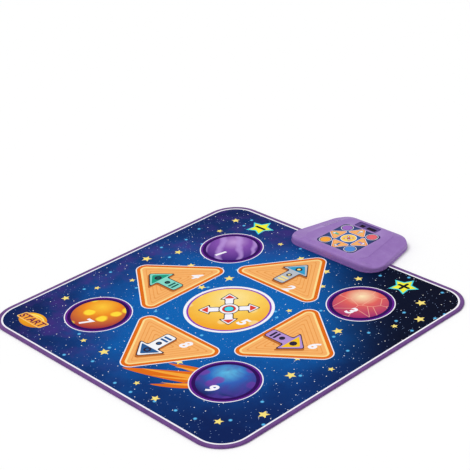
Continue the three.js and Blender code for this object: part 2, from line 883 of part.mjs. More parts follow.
addContact("contact_terminal_right", 1, lastCell, lastCell);

// Base shell

const baseFrontWallY = matDepth / 2 + gap;
const innerOutline = grown(consoleOutline, -shellWall);
const baseSkin = skin(
  [
    ringAt(grown(consoleOutline, -baseEdgeRound), baseFootGap),
    ringAt(consoleOutline, baseFootGap + baseEdgeRound),
    ringAt(consoleOutline, partingZ),
  ],
  consoleOutline,
);

// A block as wide as the console, between two places along Y
function acrossConsole(nearY, farY, low, high) {
  return box(consoleX, (nearY + farY) / 2, consoleFrontWidth + 2 * cutOverrun, farY - nearY, low, high);
}

// The inside of the base behind or in front of the step in its floor
function baseInside(nearY, farY, low) {
  const inside = solid(slab(innerOutline, low, partingZ + cutOverrun));
  const block = solid(acrossConsole(nearY, farY, low - cutOverrun, partingZ + 2 * cutOverrun));
  return geometryOf(inside.intersect(block));
}

const stepY = baseFrontWallY + shellWall;
const posts = [];
for (const side of [-1, 1]) {
  const x = consoleX + side * (mainBoardWidth / 2 - postInset);
  const frontPostY = mainBoardFront + postInset;
  const rearPostY = mainBoardY + mainBoardDepth / 2 - postInset;
  posts.push(cylinder(x, frontPostY, postRadius, frontFloorTop - joinDepth, mainBoardZ));
  posts.push(cylinder(x, rearPostY, postRadius, rearFloorTop - joinDepth, mainBoardZ));
}
const bayShell = slab(grown(bayInside, bayWall), rearFloorTop - joinDepth, bayTop + bayWall);
const doorBossTop = doorBottom + doorScrewLength + bayWall;
const doorBoss = cylinder(doorScrewX, bayY, doorBossRadius, rearFloorTop - joinDepth, doorBossTop);
const doorBossHole = cylinder(
  doorScrewX,
  bayY,
  doorScrewRadius + gap,
  doorBottom,
  doorBottom + doorScrewLength + gap,
);
const switchShelf = box(
  consoleX + switchX,
  switchY,
  switchWidth,
  switchDepth,
  rearFloorTop - joinDepth,
  rearFloorTop + switchShelfHeight,
);
const counterbores = screws
  .filter((at) => at.floor === rearFloorTop)
  .map((at) => cylinder(at.x, at.y, screwHeadRadius + gap, baseFootGap - cutOverrun, at.seat));
const floorHoles = screws.map((at) =>
  cylinder(at.x, at.y, screwRadius + gap, baseFootGap, at.floor + cutOverrun),
);
const bindingGroove = box(
  consoleX,
  matDepth / 2 - bindingWidth / 2,
  consoleFrontWidth + 2 * cutOverrun,
  bindingWidth + 2 * gap,
  0,
  bindingTop + gap,
);
const baseShell = shape(
  [baseSkin],
  [
    acrossConsole(consoleFrontY - cutOverrun, baseFrontWallY, 0, sheetTop),
    bindingGroove,
    baseInside(consoleFrontY, stepY, frontFloorTop),
    baseInside(stepY, consoleRearY, rearFloorTop),
  ],
);
addPiece(
  "base_shell",
  shape(
    [baseShell, ...posts, bayShell, doorBoss, switchShelf],
    [
      slab(bayInside, baseFootGap - cutOverrun, bayTop),
      ...doorShape(gap, baseFootGap - cutOverrun, doorTop + gap),
      doorBossHole,
      slab(tailSlot, sheetTop - cutOverrun, frontFloorTop + cutOverrun),
      ...counterbores,
      ...floorHoles,
    ],
  ),
  "purplePlastic",
);

for (const [name, side] of [
  ["foot_left", -1],
  ["foot_right", 1],
]) {
  addPiece(name, cylinder(consoleX + side * footX, footY, footRadius, 0, baseFootGap, roundSteps), "rubber");
}

// Light panel, grid, board and lamps

addPiece("light_panel", slab(panelOutline, deckZ - panelThickness, deckZ), "panel");

const gridSpanX = panelWidth - 2 * panelLedge;
const gridSpanY = panelDepth - 2 * panelLedge;
const gridCount = 3;
const gridPitchX = gridSpanX / gridCount;
const gridPitchY = gridSpanY / gridCount;
const gridPlaces = [-1, 0, 1].flatMap((row) =>
  [-1, 0, 1].map((column) => [consoleX + column * gridPitchX, panelY - row * gridPitchY]),
);
const gridHoles = gridPlaces.map(([x, y]) =>
  box(x, y, gridPitchX - gridBar, gridPitchY - gridBar, gridBottom - cutOverrun, deckUnderside + cutOverrun),
);
addPiece(
  "light_grid",
  shape([slab(grown(panelWindow, gridFlange), gridBottom, deckUnderside)], gridHoles),
  "whitePlastic",
);

const lightBoardFront = panelY - gridSpanY / 2 - lightBoardMargin;
const lightBoardStep = panelY + gridSpanY / 2 + lightBoardMargin;
const lightBoardRear = windowY + windowDepth / 2 + lightBoardMargin;
addPiece(
  "light_board",
  shape([
    box(
      consoleX,
      (lightBoardFront + lightBoardStep) / 2,
      gridSpanX + 2 * lightBoardMargin,
      lightBoardStep - lightBoardFront,
      lightBoardBottom,
      gridBottom,
    ),
    box(
      consoleX + displayX,
      (lightBoardStep - joinDepth + lightBoardRear) / 2,
      displayWidth + 2 * lightBoardMargin,
      lightBoardRear - lightBoardStep + joinDepth,
      lightBoardBottom,
      gridBottom,
    ),
  ]),
  "circuitBoard",
);
gridPlaces.forEach(([x, y], i) => {
  addPiece(`light_${i + 1}`, box(x, y, lightSize, lightSize, gridBottom, gridBottom + lightHeight), "lamp");
});

// Display lens and digits

const lensLeft = Math.min(oneDigitX - oneDigitWidth / 2, twoDigitX - twoDigitWidth / 2) - lensMargin;
const lensRight = Math.max(oneDigitX + oneDigitWidth / 2, twoDigitX + twoDigitWidth / 2) + lensMargin;
addPiece(
  "display_lens",
  box(
    consoleX + (lensLeft + lensRight) / 2,
    windowY,
    lensRight - lensLeft,
    windowDepth + 2 * lensMargin,
    lensBottom,
    deckUnderside,
  ),
  "darkLens",
);
addPiece(
  "display_one_digit",
  slab(displayWindow(oneDigitX, oneDigitWidth, digitMargin), gridBottom, lensBottom),
  "blackPlastic",
);
addPiece(
  "display_two_digit",
  slab(displayWindow(twoDigitX, twoDigitWidth, digitMargin), gridBottom, lensBottom),
  "blackPlastic",
);

// Main board with its chip, capacitor and tail socket

const socketY = mainBoardFront + socketInset + socketDepth / 2;
const socketMouth = box(
  consoleX,
  socketY - socketDepth / 2,
  tailLength,
  socketInset,
  tailTop - tailThickness - gap,
  tailTop + gap,
);
const chipX = consoleX - socketWidth / 2 - chipSpacing - chipSize / 2;
const capacitorX = consoleX + socketWidth / 2 + chipSpacing + capacitorRadius;
addPiece(
  "main_board",
  shape(
    [
      box(consoleX, mainBoardY, mainBoardWidth, mainBoardDepth, mainBoardZ, mainBoardTop),
      box(consoleX, socketY, socketWidth, socketDepth, mainBoardTop - joinDepth, mainBoardTop + socketHeight),
      box(chipX, mainBoardY, chipSize, chipSize, mainBoardTop - joinDepth, mainBoardTop + chipHeight),
      cylinder(
        capacitorX,
        mainBoardY,
        capacitorRadius,
        mainBoardTop - joinDepth,
        mainBoardTop + capacitorHeight,
      ),
    ],
    [socketMouth],
  ),
  "circuitBoard",
);

// Speaker, facing up to the slots
const speakerProfile = [
  [0, 0],
  [magnetRadius, 0],
  [magnetRadius, magnetHeight],
  [speakerRadius, speakerHeight - coneDepth / 2],
  [speakerRadius, speakerHeight],
  [speakerRadius - coneDepth / 2, speakerHeight],
  [coneRadius, speakerHeight - coneDepth],
  [0, speakerHeight - coneDepth],
].map(([radius, height]) => new THREE.Vector2(radius, height));
const speaker = new THREE.LatheGeometry(speakerProfile, roundSteps)
  .rotateX(quarterTurn)
  .translate(consoleX + speakerX, speakerY, rearFloorTop);
addPiece("speaker", shape([speaker]), "blackPlastic");

// Power switch on its shelf, and the knob that comes out through the rear wall
addPiece(
  "power_switch",
  box(consoleX + switchX, switchY, switchWidth, switchDepth, switchBottom, switchBottom + switchHeight),
  "blackPlastic",
);
const knobNear = switchY + switchDepth / 2 + gap;
const knobFar = consoleRearY - knobRecess;
addPiece(
  "switch_knob",
  shape([
    box(
      knobX,
      knobNear + knobFlange / 2,
      knobWidth + 2 * knobFlange,
      knobFlange,
      switchZ - knobHeight / 2 - knobFlange / 2,
      switchZ + knobHeight / 2 + knobFlange / 2,
    ),
    box(
      knobX,
      (knobNear + knobFar) / 2,
      knobWidth,
      knobFar - knobNear,
      switchZ - knobHeight / 2,
      switchZ + knobHeight / 2,
    ),
  ]),
  "blackPlastic",
);

export default danceMat;
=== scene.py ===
# %% [markdown]
# Electronic dance mat
#
# A folding floor mat with twelve printed touch pads, and a plastic console on its rear edge.
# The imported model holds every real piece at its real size. This lesson gives each piece its
# finish, and builds again, in finer meshes, the pieces whose surface the eye meets first.

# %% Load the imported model
import math
import random

import bpy
import numpy as np
from mathutils import Matrix, Vector
from mathutils.geometry import delaunay_2d_cdt


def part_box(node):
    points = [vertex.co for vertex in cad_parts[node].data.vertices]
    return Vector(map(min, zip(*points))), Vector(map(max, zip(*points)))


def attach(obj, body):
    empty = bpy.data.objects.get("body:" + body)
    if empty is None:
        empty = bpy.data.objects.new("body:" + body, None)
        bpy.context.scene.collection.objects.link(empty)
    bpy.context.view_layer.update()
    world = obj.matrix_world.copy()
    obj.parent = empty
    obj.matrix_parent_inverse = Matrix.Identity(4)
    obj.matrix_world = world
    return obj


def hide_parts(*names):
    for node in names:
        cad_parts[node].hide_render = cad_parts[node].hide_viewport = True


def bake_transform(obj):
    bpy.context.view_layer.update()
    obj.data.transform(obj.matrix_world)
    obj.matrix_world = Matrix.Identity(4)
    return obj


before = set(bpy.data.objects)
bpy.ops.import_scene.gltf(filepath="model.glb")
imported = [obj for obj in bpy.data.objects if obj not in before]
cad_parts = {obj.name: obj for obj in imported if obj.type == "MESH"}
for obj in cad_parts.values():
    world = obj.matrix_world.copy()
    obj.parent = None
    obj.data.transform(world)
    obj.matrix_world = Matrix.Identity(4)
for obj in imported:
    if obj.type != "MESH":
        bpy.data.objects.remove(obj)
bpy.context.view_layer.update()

MM = 0.001

# %% [markdown]
# The camera stands where the photograph was taken from: to the right of the mat's front edge,
# well above it, and far away, so that the mat's sides run nearly parallel. A long lens gives that
# look. The camera is rolled a little, because the photograph is.

# %% Camera
azimuth, elevation, roll = (math.radians(angle) for angle in (47.78, 26.91, -3.70))
target, distance = Vector((-0.2961, 0.306, 0)), 3.8637
lens, sensor_width = 103.87, 36


def put_in_scene(name, data):
    """A new object of this data."""
    thing = bpy.data.objects.new(name, data)
    bpy.context.scene.collection.objects.link(thing)
    return thing


level = math.cos(elevation)
back = Vector((math.sin(azimuth) * level, -math.cos(azimuth) * level, math.sin(elevation)))
right = Vector((0, 0, 1)).cross(back).normalized()
up = back.cross(right)
rolled_right = math.cos(roll) * right + math.sin(roll) * up
rolled_up = math.cos(roll) * up - math.sin(roll) * right

camera_data = bpy.data.cameras.new("camera")
camera_data.sensor_width, camera_data.lens = sensor_width, lens
camera = put_in_scene("camera", camera_data)
turn = Matrix((rolled_right, rolled_up, back)).transposed().to_4x4()
camera.matrix_world = Matrix.Translation(target + distance * back) @ turn
bpy.context.scene.camera = camera
print("camera at", [round(x, 2) for x in camera.location])

# %% [markdown]
# Colours are written as the hex values that a screen shows. Blender's shaders work with linear
# light, so one function turns the one into the other. A small function adds a shader node with
# its settings and links, and two more start and finish a material, so that every finish below
# reads as a short recipe.

# %% Colours and nodes


def srgb(hex_colour):
    """The linear colour of a hex colour such as 1065b0."""
    values = [int(hex_colour[i : i + 2], 16) / 255 for i in (0, 2, 4)]
    linear = [v / 12.92 if v <= 0.04045 else ((v + 0.055) / 1.055) ** 2.4 for v in values]
    return (*linear, 1.0)


def fill(node, inputs):
    """Gives a node its inputs: another node's output, a hex colour or a plain value."""
    for key, value in dict(inputs).items():
        if isinstance(value, bpy.types.NodeSocket):
            node.id_data.links.new(value, node.inputs[key])
        else:
            node.inputs[key].default_value = srgb(value) if isinstance(value, str) else value


def add(tree, kind, inputs=(), out=0, stops=(), **settings):
    """Adds a node with its settings, inputs and a ramp's stops, and returns one output of it."""
    node = tree.nodes.new("ShaderNode" + kind)
    for key, value in settings.items():
        setattr(node, key, value)
    fill(node, inputs)
    if stops:
        ramp = node.color_ramp.elements
        ramp[0].position, ramp[-1].position = stops[0][0], stops[-1][0]
        for place, _ in stops[1:-1]:
            ramp.new(place)
        for stop, (_, hex_colour) in zip(ramp, stops):
            stop.color = srgb(hex_colour)
    return node.outputs[out]


def start_material(name, place="Object"):
    """A new material, its node tree, and the place on the piece that its patterns read."""
    material = bpy.data.materials.new(name)
    material.use_nodes = True
    tree = material.node_tree
    if place == "rest":
        at = add(tree, "Attribute", out="Vector", attribute_name="rest")
    else:
        at = place and add(tree, "TexCoord", out=place)
    return material, tree, at


def finish(material, inputs):
    """The material, once its shader has these inputs."""
    fill(material.node_tree.nodes["Principled BSDF"], inputs)
    return material


print("1065b0 in linear light:", [round(v, 3) for v in srgb("1065b0")])

# %% [markdown]
# The light is that of a plain studio: an even white surround, and one broad lamp high on the left
# and in front, which gives the console's slopes and walls their shading. Together they light a
# level surface just enough that a colour renders as it is written.

# %% Light and floor
surround_level, lamp_level, floor_grey = 0.72, 1.05, 0.99
lamp_from, lamp_spread = Vector((-0.35, -0.4, 1)), math.radians(30)
floor_half = 12

world = bpy.data.worlds.new("studio")
world.use_nodes = True
bpy.context.scene.world = world
seen = add(world.node_tree, "LightPath", out="Is Camera Ray")
shown = {"Value": seen, "To Min": surround_level, "To Max": 1.0}
surround = {"Strength": add(world.node_tree, "MapRange", shown), "Color": "ffffff"}
fill(world.node_tree.nodes["Background"], surround)

lamp_data = bpy.data.lights.new("studio_lamp", "SUN")
lamp_data.energy, lamp_data.angle = lamp_level, lamp_spread
lamp = put_in_scene("studio_lamp", lamp_data)
lamp.rotation_euler = lamp_from.to_track_quat("Z", "Y").to_euler()

floor_mesh = bpy.data.meshes.new("studio_floor")
quarters = ((-1, -1), (1, -1), (1, 1), (-1, 1))
floor_corners = [(x * floor_half, y * floor_half, 0) for x, y in quarters]
floor_mesh.from_pydata(floor_corners, [], [(0, 1, 2, 3)])
floor = put_in_scene("studio_floor", floor_mesh)
matt_white = {"Base Color": (*[floor_grey] * 3, 1), "Roughness": 0.9, "Specular IOR Level": 0.1}
floor_paint, *_ = start_material("matt white studio floor", place=None)
floor_mesh.materials.append(finish(floor_paint, matt_white))
bpy.context.scene.view_settings.view_transform = "Standard"
print("surround", surround_level, "lamp", lamp_level)

# %% [markdown]
# Printed cloth is made flat: one sheet, on which each patch of ink has its own outline. In the
# mesh it is the same. All outlines are drawn in millimetres as closed loops, and the sheet's face
# is cut along them, so the edge of a print stays sharp at any distance, with no picture file.
# Round corners are arcs about the corner's centre, so an outline can be drawn in or out by
# changing one radius.

# %% Outlines
ARC_STEPS, CIRCLE_STEPS = 16, 72


def oval(x, y, width, height, steps=CIRCLE_STEPS):
    """An ellipse, or a circle where width and height are alike."""
    turns = [2 * math.pi * i / steps for i in range(steps)]
    return [(x + width / 2 * math.cos(t), y + height / 2 * math.sin(t)) for t in turns]


def circle(x, y, radius, steps=CIRCLE_STEPS):
    return oval(x, y, 2 * radius, 2 * radius, steps)


def tangent_turn(a, a_radius, b, b_radius):
    """The direction in which the outer tangent from circle a to circle b touches them both."""
    dx, dy = b[0] - a[0], b[1] - a[1]
    return math.atan2(dy, dx) - math.acos((a_radius - b_radius) / math.hypot(dx, dy))


def rounded(centres, radii, steps=ARC_STEPS):
    """The outline round circles at these centres, taken anticlockwise."""
    points, circles = [], list(zip(centres, radii))
    for i, ((x, y), radius) in enumerate(circles):
        start = tangent_turn(*circles[i - 1], (x, y), radius)
        end = tangent_turn((x, y), radius, *circles[(i + 1) % len(circles)])
        sweep = (end - start) % (2 * math.pi)
        turns = [start + sweep * step / steps for step in range(steps + 1)]
        points += [(x + radius * math.cos(t), y + radius * math.sin(t)) for t in turns]
    return points


def rounded_box(x, y, width, depth, radius, steps=ARC_STEPS):
    across, along = width / 2 - radius, depth / 2 - radius
    centres = [(x + side * across, y + end * along) for side, end in quarters]
    return rounded(centres, [radius] * 4, steps)


def star(x, y, radius, waist, turn=0.0, tips=5):
    """A star whose inner corners lie at a share, waist, of its radius."""
    points = []
    for i in range(2 * tips):
        reach = radius * (waist if i % 2 else 1)
        t = turn + math.pi / 2 + math.pi * i / tips
        points.append((x + reach * math.cos(t), y + reach * math.sin(t)))
    return points


print("points round a square with round corners:", len(rounded_box(0, 0, 90, 90, 9)))

# %% [markdown]
# Other outlines are made from the ones above. Growing moves every side by the same distance, as a
# printer does to let one ink reach under the next; softening rounds sharp corners, which cut film
# and ink never have; placing turns and moves a shape that was drawn about zero.

# %% Changing and measuring outlines


def with_neighbours(points):
    """Each point of a loop as a vector, between the one before it and the one after it."""
    loop = [Vector(point) for point in points]
    return zip(loop[-1:] + loop[:-1], loop, loop[1:] + loop[:1])


def grown(points, distance):
    """The outline with each side moved outwards by a distance, or inwards if it is negative."""
    moved = []
    for before, here, after in with_neighbours(points):
        into, out = (here - before).normalized(), (after - here).normalized()
        normals = Vector((into.y, -into.x)) + Vector((out.y, -out.x))
        moved.append(tuple(here + normals * distance / (1 + into.dot(out))))
    return moved


def softened(points, radius, steps=5):
    """The outline with each corner replaced by a short curve."""
    curved = []
    for before, here, after in with_neighbours(points):
        sides = before - here, after - here
        reach = min(radius, *(side.length / 2 for side in sides))
        start, end = (here + side.normalized() * reach for side in sides)
        for t in (step / steps for step in range(steps + 1)):
            curved.append(tuple((1 - t) ** 2 * start + 2 * t * (1 - t) * here + t * t * end))
    return curved


def placed(points, x=0.0, y=0.0, turn=0.0, scale=1.0):
    """The outline scaled and turned about zero, then moved."""
    c, s = scale * math.cos(turn), scale * math.sin(turn)
    return [(x + c * u - s * v, y + s * u + c * v) for u, v in points]


def area_of(points):
    """The area in a loop, below zero if the loop runs clockwise."""
    pairs = zip(points, points[1:] + points[:1])
    return sum(a[0] * b[1] - a[1] * b[0] for a, b in pairs) / 2


def inside(points, loop):
    """Which points lie inside a closed loop: those whose ray crosses it an odd number of times."""
    x, y = points[:, 0], points[:, 1]
    result = np.zeros(len(points), bool)
    for (ax, ay), (bx, by) in zip(loop, loop[1:] + loop[:1]):
        if ay != by:
            crosses = (ay > y) != (by > y)
            result ^= crosses & (x < ax + (y - ay) * (bx - ax) / (by - ay))
    return result


print("area in a circle of 10 mm:", round(area_of(circle(0, 0, 10))), "square mm")

# %% [markdown]
# Numerals and the few words on the buttons are set in Blender's own plain typeface. A text object
# turned into a mesh without faces leaves the outlines of its letters, which then cut the sheet as
# any other patch of ink does. The typeface is thin, so each outline is moved outwards by some
# growth, and the openings in letters such as A shrink by as much.

# %% Lettering
LETTER_SPACING = 1.08


def lettering(text, height, growth, slant=0.22):
    """The closed outlines of a text, in millimetres, centred on zero, with bolder strokes."""
    curve = bpy.data.curves.new("lettering", "FONT")
    curve.body, curve.shear, curve.space_character = text, slant, LETTER_SPACING
    curve.fill_mode, curve.resolution_u = "NONE", 4
    holder = bpy.data.objects.new("lettering", curve)
    mesh = bpy.data.meshes.new_from_object(holder)
    bpy.data.objects.remove(holder)
    near = {}
    for a, b in mesh.edge_keys:
        near.setdefault(a, []).append(b)
        near.setdefault(b, []).append(a)
    loops, free = [], set(near)
    while free:
        loop, onward = [], [min(free)]
        while onward:
            loop.append(onward[0])
            free.discard(onward[0])
            onward = [v for v in near[loop[-1]] if v in free]
        loops.append([tuple(mesh.vertices[v].co.xy) for v in loop])
    every = np.array([point for loop in loops for point in loop])
    low, high = every.min(0), every.max(0)
    middle, scale = (low + high) / 2, (height - 2 * growth) / (high[1] - low[1])
    bold = []
    for loop in loops:
        outer = not any(inside(np.array(loop[:1]), other)[0] for other in loops if other != loop)
        loop = [tuple((np.array(point) - middle) * scale) for point in loop]
        if area_of(loop) < 0:
            loop.reverse()
        bold.append(grown(loop, growth if outer else -growth))
    return bold


print("outlines in the numeral 8:", len(lettering("8", 36, 2)))

# %% [markdown]
# Every new mesh stores the place of each point at rest. The printed patterns read that stored
# place, so they stay where they were printed when the mat is folded or a pad is pressed.

# %% Building meshes
SMOOTH_ANGLE = math.radians(32)
SAME_POINT = 1e-4  # in millimetres


def finish_mesh(piece):
    """Smooth shading between faces that meet at a shallow angle, and the rest places."""
    mesh = piece.data
    mesh.validate()
    mesh.shade_smooth()
    mesh.set_sharp_from_angle(angle=SMOOTH_ANGLE)
    if "rest" in mesh.attributes:
        mesh.attributes.remove(mesh.attributes["rest"])
    places = np.empty(3 * len(mesh.vertices), np.float32)
    mesh.vertices.foreach_get("co", places)
    mesh.attributes.new("rest", "FLOAT_VECTOR", "POINT").data.foreach_set("vector", places)
    return piece


def new_piece(name, points, faces, materials, slots=None):
    """An object with this mesh in millimetres, its materials and its rest places."""
    mesh = bpy.data.meshes.new(name)
    mesh.from_pydata([(x * MM, y * MM, z * MM) for x, y, z in points], [], faces)
    for material in materials:
        mesh.materials.append(material)
    if slots is not None:
        mesh.polygons.foreach_set("material_index", slots)
    return finish_mesh(put_in_scene(name, mesh))


print("edges sharper than", round(math.degrees(SMOOTH_ANGLE)), "degrees stay crisp")

# %% [markdown]
# Two kinds of mesh make up nearly everything here. A sheet is a flat outline with a thickness,
# whose face is divided along its prints and openings. A skin joins rings of points, as boat
# builders join frames, and serves for swept, lofted and turned pieces.

# %% Sheets and skins


def cut_sheet(name, outline, low, high, ground, prints=(), holes=(), rows=()):
    """A flat sheet between two heights. A print is a material and its loops."""
    corners, edges = [], []
    for loop in [outline, *holes, *[loop for _, loops in prints for loop in loops]]:
        first = len(corners)
        corners += [Vector(point) for point in loop]
        edges += [(first + i, first + (i + 1) % len(loop)) for i in range(len(loop))]
    for row in rows:
        edges.append((len(corners), len(corners) + 1))
        corners += [Vector(point) for point in row]
    spots, _, triangles, *_ = delaunay_2d_cdt(corners, edges, [], 0, SAME_POINT)
    spots, triangles = np.array(spots), np.array(triangles)
    middles = spots[triangles].mean(axis=1)
    kept = inside(middles, outline)
    for hole in holes:
        kept &= ~inside(middles, hole)
    materials, slot = [ground], np.zeros(len(triangles), int)
    for material, loops in prints:
        if material not in materials:
            materials.append(material)
        covered = np.logical_xor.reduce([inside(middles, loop) for loop in loops])
        slot[covered] = materials.index(material)
    used, triangles = np.unique(triangles[kept], return_inverse=True)
    triangles, spots, count = triangles.reshape(-1, 3).tolist(), spots[used], len(used)
    sides = {side for a, b, c in triangles for side in ((a, b), (b, c), (c, a))}
    rim = [(a, b) for a, b in sorted(sides) if (b, a) not in sides]
    points = [(x, y, z) for z in (high, low) for x, y in spots]
    faces = [*triangles, *[[v + count for v in reversed(face)] for face in triangles]]
    faces += [(a + count, b + count, b, a) for a, b in rim]
    slots = [*slot[kept], *[0] * (len(triangles) + len(rim))]
    return new_piece(name, points, faces, materials, slots)


def skin(name, rings, materials, ends=True):
    """A closed skin over rings of equally many points, the ends closed or joined."""
    count, last = len(rings[0]), len(rings) - 1 if ends else len(rings)
    faces = []
    for r in range(last):
        low, high = r * count, (r + 1) % len(rings) * count
        for i in range(count):
            j = (i + 1) % count
            faces.append((low + i, low + j, high + j, high + i))
    if ends:
        faces += [tuple(range(count))[::-1], tuple(range(last * count, (last + 1) * count))]
    return new_piece(name, [point for ring in rings for point in ring], faces, materials)


print("points nearer than", SAME_POINT, "mm count as one")

# %% [markdown]
# The mat's top is polyester cloth, printed by heat transfer. Such a print has no thickness: the
# dye lies in the threads, so the cloth's own fine relief and soft sheen show everywhere, and only
# the colour changes. One function gives that cloth, and each ink or printed pattern passes its
# own colour to it. The threads are 0.5 mm apart on the real mat; here they are 1.2 mm apart, the
# finest that a close view can show.

# %% Printed polyester cloth
THREAD_SPACING, THREAD_DEPTH = 1.2 * MM, 0.05 * MM
WAVE_TURN = math.pi / 10  # a wave texture of scale 1 repeats after this length


def thread_relief(tree, at, spacing, depth, strength=0.35):
    """The normal of plain-woven cloth, from two crossing sets of threads."""
    waves = {"Vector": at, "Scale": WAVE_TURN / spacing}
    warp, weft = (add(tree, "TexWave", waves, "Fac", bands_direction=axis) for axis in "XY")
    height = add(tree, "Math", {0: warp, 1: weft}, operation="MULTIPLY")
    return add(tree, "Bump", {"Strength": strength, "Distance": depth, "Height": height})


def mottled(tree, at, ink, scale, smoothest, roughest):
    """An ink that is lighter and darker in patches, and a roughness that follows them."""
    patches = add(tree, "TexNoise", {"Vector": at, "Scale": scale, "Detail": 4.0})
    shade = add(tree, "MapRange", {"Value": patches, "To Min": 0.93, "To Max": 1.07})
    both = {0: 1.0, 6: ink, 7: shade}
    gloss = {"Value": patches, "To Min": smoothest, "To Max": roughest}
    return {
        "Base Color": add(tree, "Mix", both, 2, data_type="RGBA", blend_type="MULTIPLY"),
        "Roughness": add(tree, "MapRange", gloss),
    }


def printed_cloth(name, colour, roughness=0.52):
    """Printed polyester: colour is a hex colour, or a function that returns a colour socket."""
    material, tree, at = start_material(name, "rest")
    ink = colour(tree, at) if callable(colour) else colour
    inputs = mottled(tree, at, ink, 90.0, roughness - 0.05, roughness + 0.07)
    inputs["Normal"] = thread_relief(tree, at, THREAD_SPACING, THREAD_DEPTH)
    return finish(material, {**inputs, "IOR": 1.5, "Specular IOR Level": 0.02})


ink_colours = {
    "yellow": "f9e27e",
    "bright yellow": "f6f23c",
    "yellow-green": "d4e62c",
    "cyan": "46d8e6",
    "light orange": "f6a63a",
    "orange": "e06c14",
    "red": "dd3f35",
    "violet": "8b3fb4",
    "deep purple": "641f8c",
    "dark violet": "2e0a58",
    "plum": "6a1246",
    "cream": "fbdc92",
    "peach": "f6b168",
    "tan": "e89a4e",
    "brown shadow": "b9692c",
    "near-black": "2b2338",
    "black": "16161c",
}
inks = {
    colour: printed_cloth(f"{colour} transfer print", hex_colour)
    for colour, hex_colour in ink_colours.items()
}
inks["white"] = printed_cloth("white ground of the polyester", "f6f4fb")
carbon_ink = printed_cloth("black carbon contact print", "1c1c1f", roughness=0.7)
print("inks:", ", ".join(inks))

# %% [markdown]
# The ground of the print is a night sky: bright blue in the middle, navy towards the corners and
# almost black at the right, with violet clouds on the left. Fine dust, larger specks and pale
# blue dots lie over it. Each kind of dot comes from cells scattered at a real spacing: a point
# nearer to its cell's centre than the dot's radius is inside the dot.

# %% The printed night sky
sky_stops = [(0.0, "0c66b4"), (0.20, "0a60b0"), (0.31, "0a4f98"), (0.42, "0b3574")]
sky_stops.append((0.55, "0c2258"))


def dots(tree, at, spacing, radius, chance, softness=0.3):
    """How far a point lies inside dots of this radius, in cells of this spacing."""
    cells = {"Vector": at, "Scale": 1 / (spacing * MM)}
    away = add(tree, "TexVoronoi", cells, voronoi_dimensions="2D")
    rim = radius / spacing
    near = {"Value": away, "From Min": rim, "From Max": rim * (1 - softness)}
    pick = add(tree, "SeparateColor", {"Color": away.node.outputs["Color"]})
    chosen = add(tree, "Math", {0: pick, 1: 1 - chance}, operation="GREATER_THAN")
    return add(tree, "Math", {0: add(tree, "MapRange", near), 1: chosen}, operation="MULTIPLY")


def night_sky(tree, at):
    """Blue in the middle, navy and black at the corners, violet clouds, dust and pale dots."""
    clouds = add(tree, "TexNoise", {"Vector": at, "Scale": 7.0, "Detail": 6.0, "Roughness": 0.6})
    wisps = add(tree, "TexNoise", {"Vector": at, "Scale": 9.0, "Detail": 8.0, "Roughness": 0.65})
    reach = add(tree, "VectorMath", {0: at}, "Value", operation="LENGTH")
    wander = add(tree, "MapRange", {"Value": clouds, "To Min": -0.16, "To Max": 0.16})
    uneven = add(tree, "Math", {0: reach, 1: wander}, operation="ADD")
    axes = add(tree, "SeparateXYZ", {"Vector": at}).node.outputs
    rightward = add(tree, "Math", {0: axes["X"], 1: axes["Y"]}, operation="ADD")
    rises = [
        (rightward, 0.22, 0.62, 0.94),
        (wisps, 0.44, 0.66, 1.0),
        (axes["X"], 0.12, -0.30, 0.66),
        (reach, 0.24, 0.40, 1.0),
    ]
    night, violet, leftward, outward = (
        add(
            tree,
            "MapRange",
            {"Value": value, "From Min": start, "From Max": end, "To Max": most},
            interpolation_type="SMOOTHSTEP",
        )
        for value, start, end, most in rises
    )
    for share in (leftward, outward):
        violet = add(tree, "Math", {0: violet, 1: share}, operation="MULTIPLY")
    colour = add(tree, "ValToRGB", {"Fac": uneven}, stops=sky_stops)
    dust = dots(tree, at, spacing=8, radius=0.9, chance=0.13)
    specks = dots(tree, at, spacing=34, radius=1.5, chance=0.5)
    pale = dots(tree, at, spacing=62, radius=5.5, chance=0.45, softness=0.55)
    layers = [(night, "04071a"), (violet, "482b80"), (dust, "9fb8e8"), (specks, "ffffff")]
    for share, tint in [*layers, (pale, "5fbdf0")]:
        colour = add(tree, "Mix", {0: share, 6: colour, 7: tint}, 2, data_type="RGBA")
    return colour


sky_print = printed_cloth("sky blue transfer print on polyester", night_sky)
print("sky print has", len(sky_print.node_tree.nodes), "nodes")

# %% [markdown]
# Sizes and places come from the imported model. The mat is square, and its layers are split on the
# fold line in the imported model. Here each layer is one piece, with rows of points across the fold
# line, where the real mat bends.

# %% The mat's size and its fold


def corners_of(node):
    """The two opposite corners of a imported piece's box, in millimetres, as all sizes here."""
    return [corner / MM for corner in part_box(node)]


def middle_of(node):
    low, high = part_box(node)
    return (low + high) / 2 / MM


def size_of(node):
    low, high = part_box(node)
    return (high - low) / MM


mat_half, mat_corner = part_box("edge_binding")[1].x / MM, 86
fold_y = (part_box("top_sheet")[0].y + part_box("top_sheet_flap")[1].y) / 2 / MM
fold_reach, fold_row_count = 5.5, 15
fold_steps = [2 * i / (fold_row_count - 1) - 1 for i in range(fold_row_count)]
fold_rows_y = [fold_y + fold_reach * step for step in fold_steps]
fold_rows = [((-2 * mat_half, y), (2 * mat_half, y)) for y in fold_rows_y]


def mat_outline(inset, steps=24):
    """The mat's square with round corners, drawn in by inset."""
    side = 2 * (mat_half - inset)
    return rounded_box(0, 0, side, side, mat_corner - inset, steps)


def bend_at_fold(piece):
    """The piece with its placing baked into its mesh."""
    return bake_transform(piece)


print("mat", 2 * mat_half, "mm square, folded at y =", fold_y)

